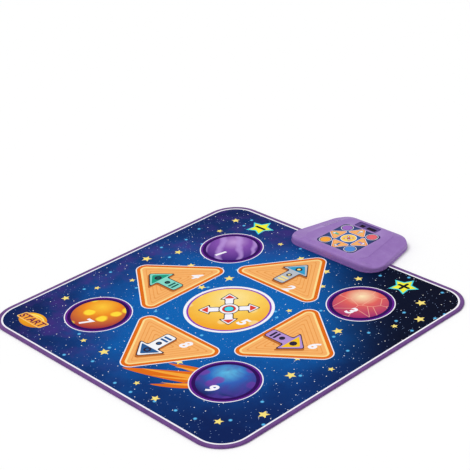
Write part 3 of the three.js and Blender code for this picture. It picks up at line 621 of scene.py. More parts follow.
# %% [markdown]
# Pad outlines. Four round pads and the centre pad are circles. A wedge pad is a triangle whose
# corners are arcs, and the volume pads are stars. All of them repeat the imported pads' boxes, and
# the holes in the cover are the same outlines, a hair wider.

# %% Pad outlines
wedge_low, wedge_high = corners_of("pad_6")
wedge_corner, least_corner = 25, 4
wedge_core = [
    (wedge_low.x + wedge_corner, wedge_low.y + wedge_corner),
    (wedge_high.x - wedge_corner, 0),
    (wedge_low.x + wedge_corner, wedge_high.y - wedge_corner),
]
wedge_turns = {6: 0, 2: math.pi / 2, 4: math.pi, 8: -math.pi / 2}
star_pads = ("pad_minus", "pad_plus")
star_tips_reach = 1 + math.cos(math.pi / 5)
star_waist = 0.52


def wedge(turn, inset=0.0):
    """A wedge pad's outline, drawn in by inset. Past the corner radius its three sides move in."""
    core, radius = wedge_core, wedge_corner - inset
    if radius < least_corner:
        core, radius = grown(wedge_core, radius - least_corner), least_corner
    return placed(rounded(core, [radius] * 3), turn=turn)


def star_place(name):
    """The middle and radius of a star pad, whose box reaches from its tip to its feet."""
    radius = size_of(name).y / star_tips_reach
    return middle_of(name).x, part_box(name)[1].y / MM - radius, radius


def pad_circle(number, inset=0.0):
    """A round pad's outline, drawn in by inset."""
    centre, size = middle_of(f"pad_{number}"), size_of(f"pad_{number}")
    return circle(centre.x, centre.y, size.x / 2 - inset, steps=96)


def pad_outline(name, spare=0.0):
    """The outline of one pad by its node's name, grown by spare."""
    if name in star_pads:
        return grown(star(*star_place(name), star_waist), spare)
    if name == "pad_start":
        centre, size = middle_of(name), size_of(name)
        return oval(centre.x, centre.y, size.x + 2 * spare, size.y + 2 * spare)
    number = int(name[-1])
    if number in wedge_turns:
        return wedge(wedge_turns[number], -spare)
    return pad_circle(number, -spare)


pad_names = sorted(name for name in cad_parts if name.startswith("pad_"))
print("pads:", ", ".join(pad_names))

# %% [markdown]
# The cover is one sheet with the sky printed on it, twelve openings for the pads, a white line
# round its edge, a white outline round every pad, and small yellow stars. The stars are scattered
# by chance from a fixed seed, and kept off the pads, the edge and each other.

# %% Stars, rims and the edge line
sheet_low, sheet_high = (corner.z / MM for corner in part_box("top_sheet"))
sheet_inset = mat_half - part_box("top_sheet")[1].x / MM
outline_width, centre_outline_width = 2.8, 6
edge_line_inset, edge_line_width = 10.6, 5.2
star_count, star_radii, star_distance, star_margin = 30, [9.5, 12.5, 15], 68, 12
star_edge_margin, small_star_waist = 45, 0.46
chance = random.Random(11)


def clear_of(x, y, radius, loops):
    """Whether a disc keeps clear of every loop."""
    spot = np.array([[x, y]])
    for loop in loops:
        nearest = np.hypot(*(np.array(loop) - spot).T).min()
        if nearest < radius or inside(spot, loop)[0]:
            return False
    return True


def scattered_stars(count, loops, reach):
    """Small stars of three sizes that keep clear of the loops and of each other."""
    found = []
    while len(found) < count:
        x, y = chance.uniform(-reach, reach), chance.uniform(-reach, reach)
        radius, turn = chance.choice(star_radii), chance.uniform(-0.5, 0.5)
        apart = all(math.hypot(x - a, y - b) > star_distance for a, b, *_ in found)
        if apart and clear_of(x, y, radius + star_margin, loops):
            found.append((x, y, radius, turn))
    return [star(x, y, radius, small_star_waist, turn) for x, y, radius, turn in found]


pad_rims = {name: pad_outline(name, outline_width) for name in pad_names}
console_footprint = rounded_box(*middle_of("base_shell").xy, *size_of("base_shell").xy, 20)
kept_clear = [*pad_rims.values(), console_footprint]
small_stars = scattered_stars(star_count, kept_clear, mat_half - star_edge_margin)
edge_line = [mat_outline(edge_line_inset), mat_outline(edge_line_inset + edge_line_width)]
print("stars:", len(small_stars))

# %% [markdown]
# The start pad's word lies on a slanted band that is longer than the pad, so the ends of both are
# printed on the cover. Tapered strokes trail away from pad 9, a lighter one inside each darker one.

# %% The start word and the trails
word_height, word_growth, word_slant = 22, 0.8, 0.2
band_growth, field_growth = 4.2, 2.6
start_centre, start_size = middle_of("pad_start"), size_of("pad_start")
word = [
    placed(loop, start_centre.x, start_centre.y)
    for loop in lettering("START", word_height, word_growth, word_slant)
]
word_start = min(x for loop in word for x, _ in loop)
word_end = 2 * start_centre.x - word_start
word_front, word_rear = (start_centre.y + side * word_height / 2 for side in (-1, 1))
lean = word_slant * word_height
band_core = [(word_start, word_front), (word_end - lean, word_front)]
band_core += [(word_end, word_rear), (word_start + lean, word_rear)]
word_prints = [
    (inks["cream"], [softened(grown(band_core, band_growth), 6)]),
    (inks["light orange"], [softened(grown(band_core, field_growth), 5)]),
    (inks["plum"], word),
]


def streaks(strokes, steps=24):
    """Tapered strokes from pad 9: direction and bend in degrees, width and length between."""
    centre, radius = middle_of("pad_9"), size_of("pad_9").x / 2 + 1
    loops = []
    for direction, width, length, bend in strokes:
        sides = [[], []]
        for share in (i / steps for i in range(steps + 1)):
            turn = math.radians(direction + bend * share)
            along = Vector((math.cos(turn), math.sin(turn)))
            across = Vector((-along.y, along.x)) * width / 2 * (1 - share) ** 0.7
            middle = centre.xy + along * (radius + length * share)
            sides[0].append(tuple(middle - across))
            sides[1].append(tuple(middle + across))
        loops.append(sides[0] + sides[1][-2::-1])
    return loops


trails = streaks([(189, 24, 78, 4), (211, 50, 176, -3), (233, 26, 92, -8)])
trail_cores = streaks([(191, 9, 56, 4), (208, 16, 128, -2), (216, 8, 96, -3), (231, 9, 66, -8)])
print("strokes:", len(trails) + len(trail_cores))

# %% [markdown]
# The cover also has openings at the rear that the console hides: two for its screws, and a slot
# for the flat tail that carries the tracks up into it.

# %% The printed cover
PAD_PLAY = 0.1
SCREW_HOLE = 1.6
CLAMP_PLAY = 0.3
tail_y, tail_width = mat_half - 22, 44.6
tail_pocket_y = tail_y - 6.85
tail_slot_size, tail_pocket_size = (tail_width, 0.9), (tail_width, 14.9)
clamp, clamp_size = middle_of("clamp_strip"), size_of("clamp_strip")
clamp_room = [side + 2 * CLAMP_PLAY for side in clamp_size.xy]
clamp_opening = rounded_box(clamp.x, clamp.y, *clamp_room, radius=0.3, steps=2)
tail_slot = rounded_box(clamp.x, tail_y, *tail_slot_size, radius=0.1, steps=2)
tail_pocket = rounded_box(clamp.x, tail_pocket_y, *tail_pocket_size, radius=0.3, steps=2)
front_screws = [middle_of(name) for name in ("case_screw_1", "case_screw_3")]
screw_openings = [circle(place.x, place.y, SCREW_HOLE, 20) for place in front_screws]
cover_holes = [pad_outline(name, PAD_PLAY) for name in pad_names]
cover_outline = mat_outline(sheet_inset)
printed_cover = cut_sheet(
    "printed_cover",
    cover_outline,
    sheet_low,
    sheet_high,
    sky_print,
    prints=[
        (inks["orange"], trails),
        (inks["light orange"], trail_cores),
        (inks["yellow"], small_stars),
        (inks["white"], [pad_circle(5, -centre_outline_width)]),
        (inks["white"], edge_line),
        (inks["white"], [rim for name, rim in pad_rims.items() if name[-1].isdigit()]),
        (inks["cyan"], [pad_rims[name] for name in star_pads]),
        *word_prints,
    ],
    holes=[*cover_holes, *screw_openings, tail_slot],
    rows=fold_rows,
)
bend_at_fold(printed_cover)
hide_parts("top_sheet", "top_sheet_flap")
print("cover:", len(printed_cover.data.polygons), "faces")

# %% [markdown]
# Round pads are discs of the same cloth, each with a ball printed on it that looks lit from the
# rear left. Its shading comes from the distance to a highlight point off the middle, which is
# simpler than a real sphere and gives the same soft roundness. Over it lies a pattern of its own:
# bands, cracks, spots or drifting haze. Each pattern is a share between 0 and 1 at every point.

# %% Patterns for the balls
GLINT = Vector((-0.30, 0.42, 0))  # the highlight's place, in radii from the middle
SHADE_REACH = 1.5  # radii from the highlight to full shade


def lit_ball(number, radius, light, body, shade):
    """A function for the colour of a ball that is lit from the rear left."""

    def colour(tree, at):
        glint = (middle_of(f"pad_{number}") + GLINT * radius) * MM
        away = add(tree, "VectorMath", {0: at, 1: glint}, "Value", operation="DISTANCE")
        share = add(tree, "Math", {0: away, 1: SHADE_REACH * radius * MM}, operation="DIVIDE")
        stops = [(0.0, light), (0.42, body), (1.0, shade)]
        return add(tree, "ValToRGB", {"Fac": share}, stops=stops)

    return colour


def bands(tree, at):
    """Wavy bands, as in marbled paper."""
    waves = {"Vector": at, "Scale": WAVE_TURN / (30 * MM), "Distortion": 5.0, "Detail": 2.0}
    waves["Detail Scale"] = 0.9
    wave = add(tree, "TexWave", waves, "Fac", bands_direction="DIAGONAL")
    return add(tree, "MapRange", {"Value": wave, "From Min": 0.55, "From Max": 0.98, "To Max": 0.7})


def cracks(tree, at):
    """Thin lines between cells, as in crazed glaze."""
    cells = {"Vector": at, "Scale": 1 / (40 * MM)}
    edge = add(tree, "TexVoronoi", cells, voronoi_dimensions="2D", feature="DISTANCE_TO_EDGE")
    near = {"Value": edge, "From Min": 0.035, "From Max": 0.008, "To Max": 0.8}
    return add(tree, "MapRange", near)


def spots(tree, at, spacing, radius, strength):
    """Soft spots whose rims stray by up to 6 mm."""
    wander = 6 * MM
    drift = add(tree, "TexNoise", {"Vector": at, "Scale": 30.0, "Detail": 1.0}, "Color")
    strayed = {0: drift, 1: (2 * wander,) * 3, 2: at}
    astray = add(tree, "VectorMath", strayed, operation="MULTIPLY_ADD")
    spot = dots(tree, astray, spacing, radius, chance=0.7, softness=0.35)
    return add(tree, "Math", {0: spot, 1: strength}, operation="MULTIPLY")


def haze(tree, at):
    """Drifting haze."""
    clouds = {"Vector": at, "Scale": 14.0, "Detail": 3.0, "Distortion": 1.2}
    thick = add(tree, "TexNoise", clouds)
    return add(tree, "MapRange", {"Value": thick, "From Min": 0.45, "From Max": 0.7, "To Max": 0.8})


print("patterns:", ", ".join(pattern.__name__ for pattern in (bands, cracks, spots, haze)))

# %% [markdown]
# Each ball's ink is its shading with one pattern mixed over it in a second tint. The blue ball
# has two, so its haze is mixed over an already blotched ground. Round the ball come a dark ring
# and a purple line.

# %% Inks of the balls
ring_line_width, ring_width = 5.5, 9


def patterned(ground, tint, pattern, *sizes):
    """A function for the colour of a ground with a pattern in another tint over it."""

    def colour(tree, at):
        inputs = {0: pattern(tree, at, *sizes), 6: ground(tree, at), 7: tint}
        return add(tree, "Mix", inputs, 2, data_type="RGBA")

    return colour


ball_radius = size_of("pad_1").x / 2 - ring_line_width - ring_width
violet_ball = lit_ball(1, ball_radius, "c09ad8", "8450ac", "46247c")
red_ball = lit_ball(3, ball_radius, "fde6b8", "e0645e", "a02c6c")
amber_ball = lit_ball(7, ball_radius, "fcc83a", "ee8c22", "a02a3c")
blue_ball = lit_ball(9, ball_radius, "63c6ec", "2f66bc", "1c1250")
blotched_ball = patterned(blue_ball, "7a3ca4", spots, 52, 17, 0.75)
ball_prints = {
    1: ("marbled violet", patterned(violet_ball, "bb98dc", bands)),
    3: ("crazed red", patterned(red_ball, "f6b49c", cracks)),
    7: ("spotted amber", patterned(amber_ball, "ffdf3c", spots, 46, 17, 0.95)),
    9: ("hazy blue", patterned(blotched_ball, "4c3a98", haze)),
}
print("balls:", ", ".join(name for name, _ in ball_prints.values()))

# %% [markdown]
# A pad is a firm plate under its printed cloth. It fills its opening in the cover and moves down
# 1.5 mm when someone steps on it, so each pad is a piece of its own that rides on its own body.
# A black patch under it closes the contact. Numerals are white, about 34 mm tall and slanted, and
# stand off the pads' middles.

# %% Round pads
numeral_height, numeral_growth = 34, 1.8
plate_low, patch_thickness = sheet_high - 1.2, 0.2
numeral_places = {
    1: (0, -42),
    2: (42, -74),
    3: (6, -42),
    4: (58, 64),
    5: (76, -22),
    6: (36, 12),
    7: (8, -46),
    8: (46, 62),
    9: (0, -42),
}


def numeral(number):
    """The print of a numeral at its place on its pad."""
    centre, (dx, dy) = middle_of(f"pad_{number}"), numeral_places[number]
    shapes = lettering(str(number), numeral_height, numeral_growth)
    return inks["white"], [placed(loop, centre.x + dx, centre.y + dy) for loop in shapes]


def add_pad(key, ground, prints):
    """One pad's printed plate and its contact patch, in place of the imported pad."""
    name, inset = f"pad_{key}", 9 if isinstance(key, int) else 5
    outline, patch_outline = pad_outline(name), pad_outline(name, -inset)
    plate = cut_sheet(f"printed_pad_{key}", outline, plate_low, sheet_high, ground, prints)
    patch_low = plate_low - patch_thickness
    patch = cut_sheet(f"contact_patch_{key}", patch_outline, patch_low, plate_low, carbon_ink)
    for piece in (plate, patch):
        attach(piece, f"touch_{key}")
    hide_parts(name)


for number, (name, colour) in ball_prints.items():
    centre = middle_of(f"pad_{number}")
    ball = circle(centre.x, centre.y, ball_radius, steps=96)
    prints = [
        (inks["dark violet"], [pad_circle(number, ring_line_width)]),
        (printed_cloth(f"{name} transfer print", colour), [ball]),
        numeral(number),
    ]
    add_pad(number, inks["deep purple"], prints)
print("round pads:", sorted(ball_prints))

# %% [markdown]
# Wedge pads. From the rim inwards come an orange band, a cream band, and a peach field with faint
# contour lines that repeat the pad's outline. On each lies an arrow that points outwards, the
# plain sign of a dance mat, in two colours of its own, with a dark outline and a soft shadow.

# %% Wedge pads
orange_band, cream_band = 9.5, 15
contour_insets, contour_width = [24, 34, 44, 54, 64], 2.2
arrow_colours = {
    2: ("b9bec6", "2f9ccb", "f7e08a"),
    4: ("86d8c6", "1c9c80", "1d5d57"),
    6: ("b592d2", "f6c526", "2a2440"),
    8: ("f4f4f8", "2a5a92", "2a5a92"),
}
arrow_shifts = {2: (-8, 8), 4: (-10, 10), 6: (-34, -14), 8: (-8, -10)}


def arrow(length, shaft, head, head_length):
    """An arrow along +X, centred on zero."""
    tail, neck, tip = -length / 2, length / 2 - head_length, length / 2
    upper = [(neck, shaft / 2), (tail, shaft / 2)]
    lower = [(tail, -shaft / 2), (neck, -shaft / 2)]
    return [(neck, -head / 2), (tip, 0), (neck, head / 2), *upper, *lower]


def arrow_parts(x, y, turn):
    """The loops of the arrow's parts, from its shadow up to the dark middles of its studs."""
    whole = arrow(length=116, shaft=34, head=84, head_length=50)
    parts = {
        "outline": [softened(grown(whole, 2.5), 9)],
        "shaft": [softened(whole, 7)],
        "head": [softened([(12, -34), (48, 0), (12, 34)], 6)],
        "bars": [rounded_box(bar_x, 0, 7, 26, 2, 3) for bar_x in (-44, -32)],
        "studs": [circle(-14, 0, 8, 24), circle(24, 0, 10, 24)],
        "middles": [circle(-14, 0, 4, 24), circle(24, 0, 5, 24)],
    }
    shadow = {"shadow": [placed(softened(grown(whole, 4), 9), x + 4, y - 6, turn)]}
    return shadow | {
        part: [placed(loop, x, y, turn) for loop in loops] for part, loops in parts.items()
    }


def wedge_contours(turn):
    """Thin bands that repeat the wedge's outline, each as two loops."""
    insets = [edge for inset in contour_insets for edge in (inset, inset + contour_width)]
    return [wedge(turn, inset) for inset in insets]


for number, turn in wedge_turns.items():
    centre, ((dx, dy),) = middle_of(f"pad_{number}"), placed([arrow_shifts[number]], turn=turn)
    light, strong, dark = (
        printed_cloth(f"arrow {number} transfer print {tone}", hex_colour)
        for tone, hex_colour in zip(("light", "strong", "dark"), arrow_colours[number])
    )
    part_inks = {"shadow": inks["brown shadow"], "outline": inks["near-black"], "shaft": light}
    part_inks |= {"head": strong, "bars": dark, "studs": inks["near-black"], "middles": dark}
    parts = arrow_parts(centre.x + dx, centre.y + dy, turn)
    prints = [
        (inks["cream"], [wedge(turn, orange_band)]),
        (inks["peach"], [wedge(turn, cream_band)]),
        (inks["tan"], wedge_contours(turn)),
        *[(ink, parts[part]) for part, ink in part_inks.items()],
        numeral(number),
    ]
    add_pad(number, inks["orange"], prints)
print("wedge pads:", sorted(wedge_turns))

# %% [markdown]
# The centre pad is a yellow disc, paler at the rear, with a violet line and faint round dents. Its
# sign is four short arrows round a ringed hub, in white, red and cyan.

# %% Centre pad
centre_radius = size_of("pad_5").x / 2
yellow_ball = lit_ball(5, centre_radius, "fbe39a", "f9cf5c", "f2a11c")
dented_ball = patterned(yellow_ball, "fbe7a8", spots, 66, 15, 0.55)
centre_ink = printed_cloth("spotted yellow transfer print", dented_ball)
small_arrow = arrow(length=52, shaft=20, head=42, head_length=26)
small_head = [(2, -15), (20, 0), (2, 15)]
hub_reach = 52
hub_rings = [("near-black", 27), ("white", 24.5), ("red", 18), ("near-black", 13.5), ("cyan", 11.5)]


def around_hub(points, growth, rounding):
    """The outline repeated on the four diagonals."""
    shape, loops = softened(grown(points, growth), rounding), []
    for turn in (math.pi / 4 + math.pi / 2 * i for i in range(4)):
        loops.append(placed(shape, hub_reach * math.cos(turn), hub_reach * math.sin(turn), turn))
    return loops


add_pad(
    5,
    inks["white"],
    [
        (inks["violet"], [pad_circle(5, 2)]),
        (centre_ink, [pad_circle(5, 7)]),
        (inks["near-black"], around_hub(small_arrow, 2.5, 6)),
        (inks["white"], around_hub(small_arrow, 0, 5)),
        (inks["red"], around_hub(small_head, 0, 4)),
        *[(inks[colour], [circle(0, 0, radius)]) for colour, radius in hub_rings],
        numeral(5),
    ],
)
print("centre pad:", round(2 * centre_radius), "mm across")

# %% [markdown]
# The two volume pads are yellow-green stars with a black sign, and the start pad is an amber oval
# with its word in plum on the slanted band. A star's colour is warmer in the middle.

# %% Volume and start pads
sign_length, sign_width = 38, 8.5
star_rim, star_field = 1.2, 6.5
sign_turns = {"minus": [0], "plus": [0, math.pi / 2]}
sign_bar = rounded_box(0, 0, sign_length, sign_width, sign_width / 2 - 0.1, 5)

for key, turns in sign_turns.items():
    x, y, radius = star_place(f"pad_{key}")
    prints = [
        (inks["yellow-green"], [star(x, y, radius - star_rim, star_waist)]),
        (inks["bright yellow"], [star(x, y, radius - star_field, star_waist)]),
        *[(inks["black"], [placed(sign_bar, x, y, turn)]) for turn in turns],
    ]
    add_pad(key, inks["cyan"], prints)

amber = lit_ball("start", start_size.y / 2, "fbd63c", "f5b323", "e08a1c")
amber_ink = printed_cloth("amber transfer print", amber)
glow_size = (start_size.x - 26, start_size.y - 30)
crescent = [(inks["yellow"], 8), (amber_ink, 4)]
prints = [
    (ink, [oval(start_centre.x, start_centre.y + rise, *glow_size, 48)]) for ink, rise in crescent
]
add_pad("start", amber_ink, [*prints, *word_prints])
print("12 pads in place")

# %% [markdown]
# Under the cover lie a foam sheet with an opening at each pad, a clear contact film with printed
# silver tracks, and a dark backing cloth with rubber dots that keeps the mat from sliding. Only
# the backing is seen, when the mat is folded, but each layer has the finish that it really has.

# %% Inner layers


def foam_finish():
    """White polyethylene foam: soft, matt and full of fine closed bubbles, 0.9 mm wide."""
    material, tree, at = start_material("white closed-cell foam", "rest")
    bubbles = add(tree, "TexVoronoi", {"Vector": at, "Scale": 1 / (0.9 * MM)})
    relief = {"Strength": 0.4, "Distance": 0.1 * MM, "Height": bubbles}
    tone = add(tree, "ValToRGB", {"Fac": bubbles}, stops=[(0.0, "e9e9e4"), (1.0, "cfcfc9")])
    inputs = {"Base Color": tone, "Roughness": 0.9, "Normal": add(tree, "Bump", relief)}
    return finish(material, inputs)


def film_finish(place):
    """Polyester film with silver tracks, 6 mm apart: smooth, glossy and faintly grey."""
    material, tree, at = start_material("polyester film with silver tracks", place)
    waves = {"Vector": at, "Scale": WAVE_TURN / (6 * MM)}
    tracks = add(tree, "TexWave", waves, "Fac", bands_direction="X")
    stops = [(0.0, "c3cbd0"), (0.78, "c3cbd0"), (0.84, "8c9298")]
    tone = add(tree, "ValToRGB", {"Fac": tracks}, stops=stops)
    gloss = add(tree, "MapRange", {"Value": tracks, "To Min": 0.15, "To Max": 0.4})
    return finish(material, {"Base Color": tone, "Roughness": gloss, "IOR": 1.6})


def backing_finish():
    """Charcoal woven backing with round rubber dots, 4 mm wide and 9 mm apart."""
    material, tree, at = start_material("charcoal cloth with rubber dots", "rest")
    pitch, radius = 9 * MM, 2 * MM
    tiled = add(tree, "VectorMath", {0: at, 1: (pitch, pitch, 1.0)}, operation="MODULO")
    cell = {0: tiled, 1: (pitch, pitch, 0.0), 2: (0.0, 0.0, 0.0)}
    wrapped = add(tree, "VectorMath", cell, operation="WRAP")
    middle = {0: wrapped, 1: (pitch / 2, pitch / 2, 0.0)}
    away = add(tree, "VectorMath", middle, "Value", operation="DISTANCE")
    dot = add(tree, "MapRange", {"Value": away, "From Min": radius, "From Max": 0.8 * radius})
    weave = thread_relief(tree, at, 1.4 * MM, 0.1 * MM, strength=0.5)
    relief = {"Strength": 0.8, "Distance": 0.3 * MM, "Height": dot, "Normal": weave}
    return finish(
        material,
        {
            "Base Color": add(tree, "Mix", {0: dot, 6: "34343c", 7: "17171b"}, 2, data_type="RGBA"),
            "Roughness": add(tree, "MapRange", {"Value": dot, "To Min": 0.9, "To Max": 0.55}),
            "Normal": add(tree, "Bump", relief),
        },
    )


def layer_outline(node):
    return mat_outline(mat_half - corners_of(node)[1].x)


def plain_layer(name, node, material, holes):
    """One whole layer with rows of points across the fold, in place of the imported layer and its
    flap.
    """
    low, high = corners_of(node)
    outline = layer_outline(node)
    piece = cut_sheet(name, outline, low.z, high.z, material, holes=holes, rows=fold_rows)
    bend_at_fold(piece)
    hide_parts(node, f"{node}_flap")
    return piece


FOAM_PLAY = 0.3
foam_openings = [pad_outline(name, FOAM_PLAY) for name in pad_names]
foam_openings += [clamp_opening, tail_pocket]
foam_core = plain_layer("foam_core", "foam_spacer", foam_finish(), foam_openings)
plain_layer("track_film", "contact_film", film_finish("rest"), [clamp_opening])
backing_cloth = plain_layer(
    "backing_cloth", "backing_sheet", backing_finish(), [clamp_opening]
)
print("layers in place")

# %% [markdown]
# The edge is bound with a purple woven tape, folded over all the layers and sewn through. Its
# section is swept round the mat: flat on both faces, full and round at the edge, and drawn in a
# little at the seam.

# %% Binding tape
tape_width, tape_thickness, tape_bulge = 11, 0.6, 3.2
seam_inset = 8.6
tape_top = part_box("edge_binding")[1].z / MM


def tape_finish():
    """Ribbed polyester tape: matt, with a soft sheen, its ribs 1.2 mm apart across the edge."""
    material, tree, at = start_material("purple grosgrain polyester tape", "rest")
    uneven = add(tree, "TexNoise", {"Vector": at, "Scale": 60.0, "Detail": 5.0})
    tone = add(tree, "ValToRGB", {"Fac": uneven}, stops=[(0.3, "5b2f76"), (0.7, "6d3c8a")])
    ribs = thread_relief(tree, at, 1.2 * MM, 0.12 * MM, 0.6)
    sheen = {"Roughness": 0.75, "Sheen Weight": 0.12, "Sheen Roughness": 0.4}
    return finish(material, {"Base Color": tone, "Normal": ribs, **sheen})


def edge_path(spacing=25):
    """Points round the mat's edge with their outward directions, with a row at each fold row."""
    outline = [Vector(point) for point in mat_outline(0, steps=28)]
    path = []
    for a, b in zip(outline, outline[1:] + outline[:1]):
        steps = max(1, int((b - a).length // spacing))
        shares = {j / steps for j in range(steps)}
        if abs(b.x - a.x) < 1e-6:
            rows = [y for y in fold_rows_y if min(a.y, b.y) < y < max(a.y, b.y)]
            shares |= {(y - a.y) / (b.y - a.y) for y in rows}
        path += [a.lerp(b, share) for share in sorted(shares)]
    core = mat_half - mat_corner
    centres = [Vector([max(-core, min(core, value)) for value in point]) for point in path]
    return path, [(point - centre).normalized() for point, centre in zip(path, centres)]


def tape_section():
    """The folded tape as steps inwards and heights, round its outer face and back inside."""
    half = tape_top / 2
    turns = [math.pi * i / 12 for i in range(13)]
    outer = [(tape_bulge - tape_bulge * math.sin(t), half - half * math.cos(t)) for t in turns]
    seam_start, seam_end, lip = seam_inset - 1.1, seam_inset + 1.1, tape_width - 0.3
    top_lap = [(5.6, tape_top), (seam_start, tape_top - 0.05), (seam_inset, tape_top - 0.22)]
    top_lap += [(seam_end, tape_top - 0.1), (lip, tape_top - 0.15)]
    top_lap += [(tape_width, sheet_high + tape_thickness / 2), (tape_width, sheet_high)]
    inner = [(0.75, sheet_high), (0.75, 0.8), (tape_width, 0.8), (tape_width, 0.2)]
    low_lap = [(lip, 0.1), (seam_end, 0.05), (seam_inset, 0.2), (seam_start, 0.03), (5.6, 0)]
    return outer + top_lap + inner + low_lap


edge_points, edge_directions = edge_path()
section = tape_section()[::-1]
tape_rings = [
    [(*(point - direction * inwards), height) for inwards, height in section]
    for point, direction in zip(edge_points, edge_directions)
]
binding = skin("edge_tape", tape_rings, [tape_finish()], ends=False)
bend_at_fold(binding)
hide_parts("edge_binding", "edge_binding_flap")
print("tape:", len(binding.data.polygons), "faces")

# %% [markdown]
# The thread lies in the seam as single stitches, 4 mm apart, above and below. Each stitch is a
# flat lozenge with a ridge, which is all that shows of a thread pulled tight.

# %% Stitches
stitch_pitch, stitch_length, stitch_width, stitch_lift = 4, 3.1, 0.7, 0.16


def thread_finish():
    """Twisted polyester thread: smooth and slightly shiny, with painted highlight and shade on its
    slanted plies.
    """
    material, tree, at = start_material("plum polyester sewing thread", "rest")
    waves = {"Vector": at, "Scale": WAVE_TURN / (0.6 * MM)}
    twist_highlight_and_shade = add(tree, "TexWave", waves, "Fac", bands_direction="DIAGONAL")
    # The darker stop paints shade between the plies, and the lighter stop a highlight on them.
    tone = add(tree, "ValToRGB", {"Fac": twist_highlight_and_shade}, stops=[(0.0, "553070"), (1.0, "9265b0")])
    return finish(material, {"Base Color": tone, "Roughness": 0.45})


def stitch_places():
    """The middle of each stitch, with half its length and half its width as vectors."""
    seam_path = [p - direction * seam_inset for p, direction in zip(edge_points, edge_directions)]
    carried = 0.0
    for a, b in zip(seam_path, seam_path[1:] + seam_path[:1]):
        along = (b - a).normalized()
        across = Vector((along.y, -along.x))
        while carried < (b - a).length:
            yield a + along * carried, along * stitch_length / 2, across * stitch_width / 2
            carried += stitch_pitch
        carried -= (b - a).length


seam_points, seam_faces = [], []
for height in (tape_top - stitch_lift, stitch_lift + 0.02):
    for middle, along, across in stitch_places():
        first = len(seam_points)
        seam_points += [(*(middle + side), height) for side in (along, across, -along, -across)]
        seam_points += [(*middle, height + lift) for lift in (stitch_lift, -stitch_lift)]
        for i, j in ((0, 1), (1, 2), (2, 3), (3, 0)):
            seam_faces += [(first + j, first + i, first + 4), (first + i, first + j, first + 5)]
seam = new_piece("edge_stitches", seam_points, seam_faces, [thread_finish()])
bend_at_fold(seam)
print("stitches:", len(seam_faces) // 8)

# %% [markdown]
# The cover and the backing are cut from flat cloth. Here the cover's area, once its openings are
# out, and the backing's whole area are worked out. The tape and the stitches are sewn to the
# cover.

cover_area = area_of(cover_outline) - sum(area_of(hole) for hole in cover_holes)
area_of(layer_outline("backing_sheet")) * MM**2

# %% [markdown]
# The console is injection moulded from ABS, in a lilac cover and a darker purple base. Moulded
# ABS has an even colour, a fine grain that the mould was etched with, and a soft highlight.
# Handling leaves faint rubbed patches; edges that stand out are paler, part rubbed and part painted
# highlight. The grain is 0.4 mm on the real part; 1.1 mm is the finest that a close view can show.

# %% Moulded ABS


def moulded_abs(name, base_colour, worn_and_highlight_colour, roughness=0.42):
    """Etched ABS with rubbed patches, and paler edges, part wear and part painted highlight."""
    material, tree, at = start_material(name)
    patches = add(tree, "TexNoise", {"Vector": at, "Scale": 34.0, "Detail": 7.0, "Roughness": 0.7})
    edges = add(tree, "NewGeometry", out="Pointiness")
    # Pointiness marks the convex edges, which take the paler tint as wear and as a painted
    # highlight.
    rises = [(patches, 0.42, 0.72, 0.28), (edges, 0.51, 0.57, 0.7)]
    rubbed, edge_wear_and_highlight = (
        add(tree, "MapRange", {"Value": value, "From Min": start, "From Max": end, "To Max": most})
        for value, start, end, most in rises
    )
    wear_and_edge_highlight = add(tree, "Math", {0: rubbed, 1: edge_wear_and_highlight}, operation="MAXIMUM")
    gloss = {"Value": patches, "To Min": roughness - 0.08, "To Max": roughness + 0.1}
    grain = add(tree, "TexNoise", {"Vector": at, "Scale": 1 / (1.1 * MM), "Detail": 2.0})
    relief = {"Strength": 0.16, "Distance": 0.06 * MM, "Height": grain}
    colours = {0: wear_and_edge_highlight, 6: base_colour, 7: worn_and_highlight_colour}
    return finish(
        material,
        {
            "Base Color": add(tree, "Mix", colours, 2, data_type="RGBA"),
            "Roughness": add(tree, "MapRange", gloss),
            "Normal": add(tree, "Bump", relief),
            "IOR": 1.54,
            "Specular IOR Level": 0.3,
        },
    )


lilac_abs = moulded_abs("lilac etched moulded ABS", "9069b4", "b294d2")
purple_abs = moulded_abs("purple etched moulded ABS", "845aa8", "9a70bb")
violet_abs = moulded_abs("deep violet painted ABS", "4c2c7c", "5c3a8e")
white_abs = moulded_abs("white moulded ABS", "ecebe6", "f6f5f1")
black_abs = moulded_abs("black moulded ABS", "101013", "1c1c20", 0.6)
print("console plastics:", lilac_abs.name, "and", purple_abs.name)

# %% [markdown]
# Solids are cut as a toolmaker would: a rough form, then pockets and holes taken out of it. Each
# cutter is a closed prism. One that opens on the outside widens over its last half millimetre,
# which leaves the small chamfer that every moulded edge has and that catches the light.

# %% Cutting solids
CHAMFER = 0.45


def level_ring(outline, z):
    return [(x, y, z) for x, y in outline]


def prism(outline, low, high, flare=0.0, slot=0):
    """A cutter: a closed prism between two heights, widened at its top over a chamfer."""
    rings = [level_ring(outline, low), level_ring(outline, flare - CHAMFER if flare else high)]
    if flare:
        rings.append(level_ring(grown(outline, CHAMFER + high - flare), high))
    piece = skin("cutter", rings, [])
    piece["slot"] = slot
    return piece


def block(x, y, width, depth, low, high):
    left, near = x - width / 2, y - depth / 2
    right, far = left + width, near + depth
    return prism([(left, near), (right, near), (right, far), (left, far)], low, high)


def carved(piece, tools, operation="DIFFERENCE"):
    """The piece with each tool taken out of it or joined to it; the tools are used up."""
    for tool in tools:
        for material in piece.data.materials:
            tool.data.materials.append(material)
        slots = [tool["slot"]] * len(tool.data.polygons)
        tool.data.polygons.foreach_set("material_index", slots)
        modifier = piece.modifiers.new("cut", "BOOLEAN")
        modifier.operation, modifier.solver, modifier.object = operation, "EXACT", tool
    bpy.context.view_layer.update()
    result = piece.evaluated_get(bpy.context.evaluated_depsgraph_get())
    mesh = bpy.data.meshes.new_from_object(result)
    piece.modifiers.clear()
    piece.data = mesh
    for tool in tools:
        bpy.data.objects.remove(tool)
    return finish_mesh(piece)


def fitted(piece, node, body="mat"):
    """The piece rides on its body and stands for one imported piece."""
    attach(piece, body)
    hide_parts(node)
    return piece


print("chamfers:", CHAMFER, "mm")

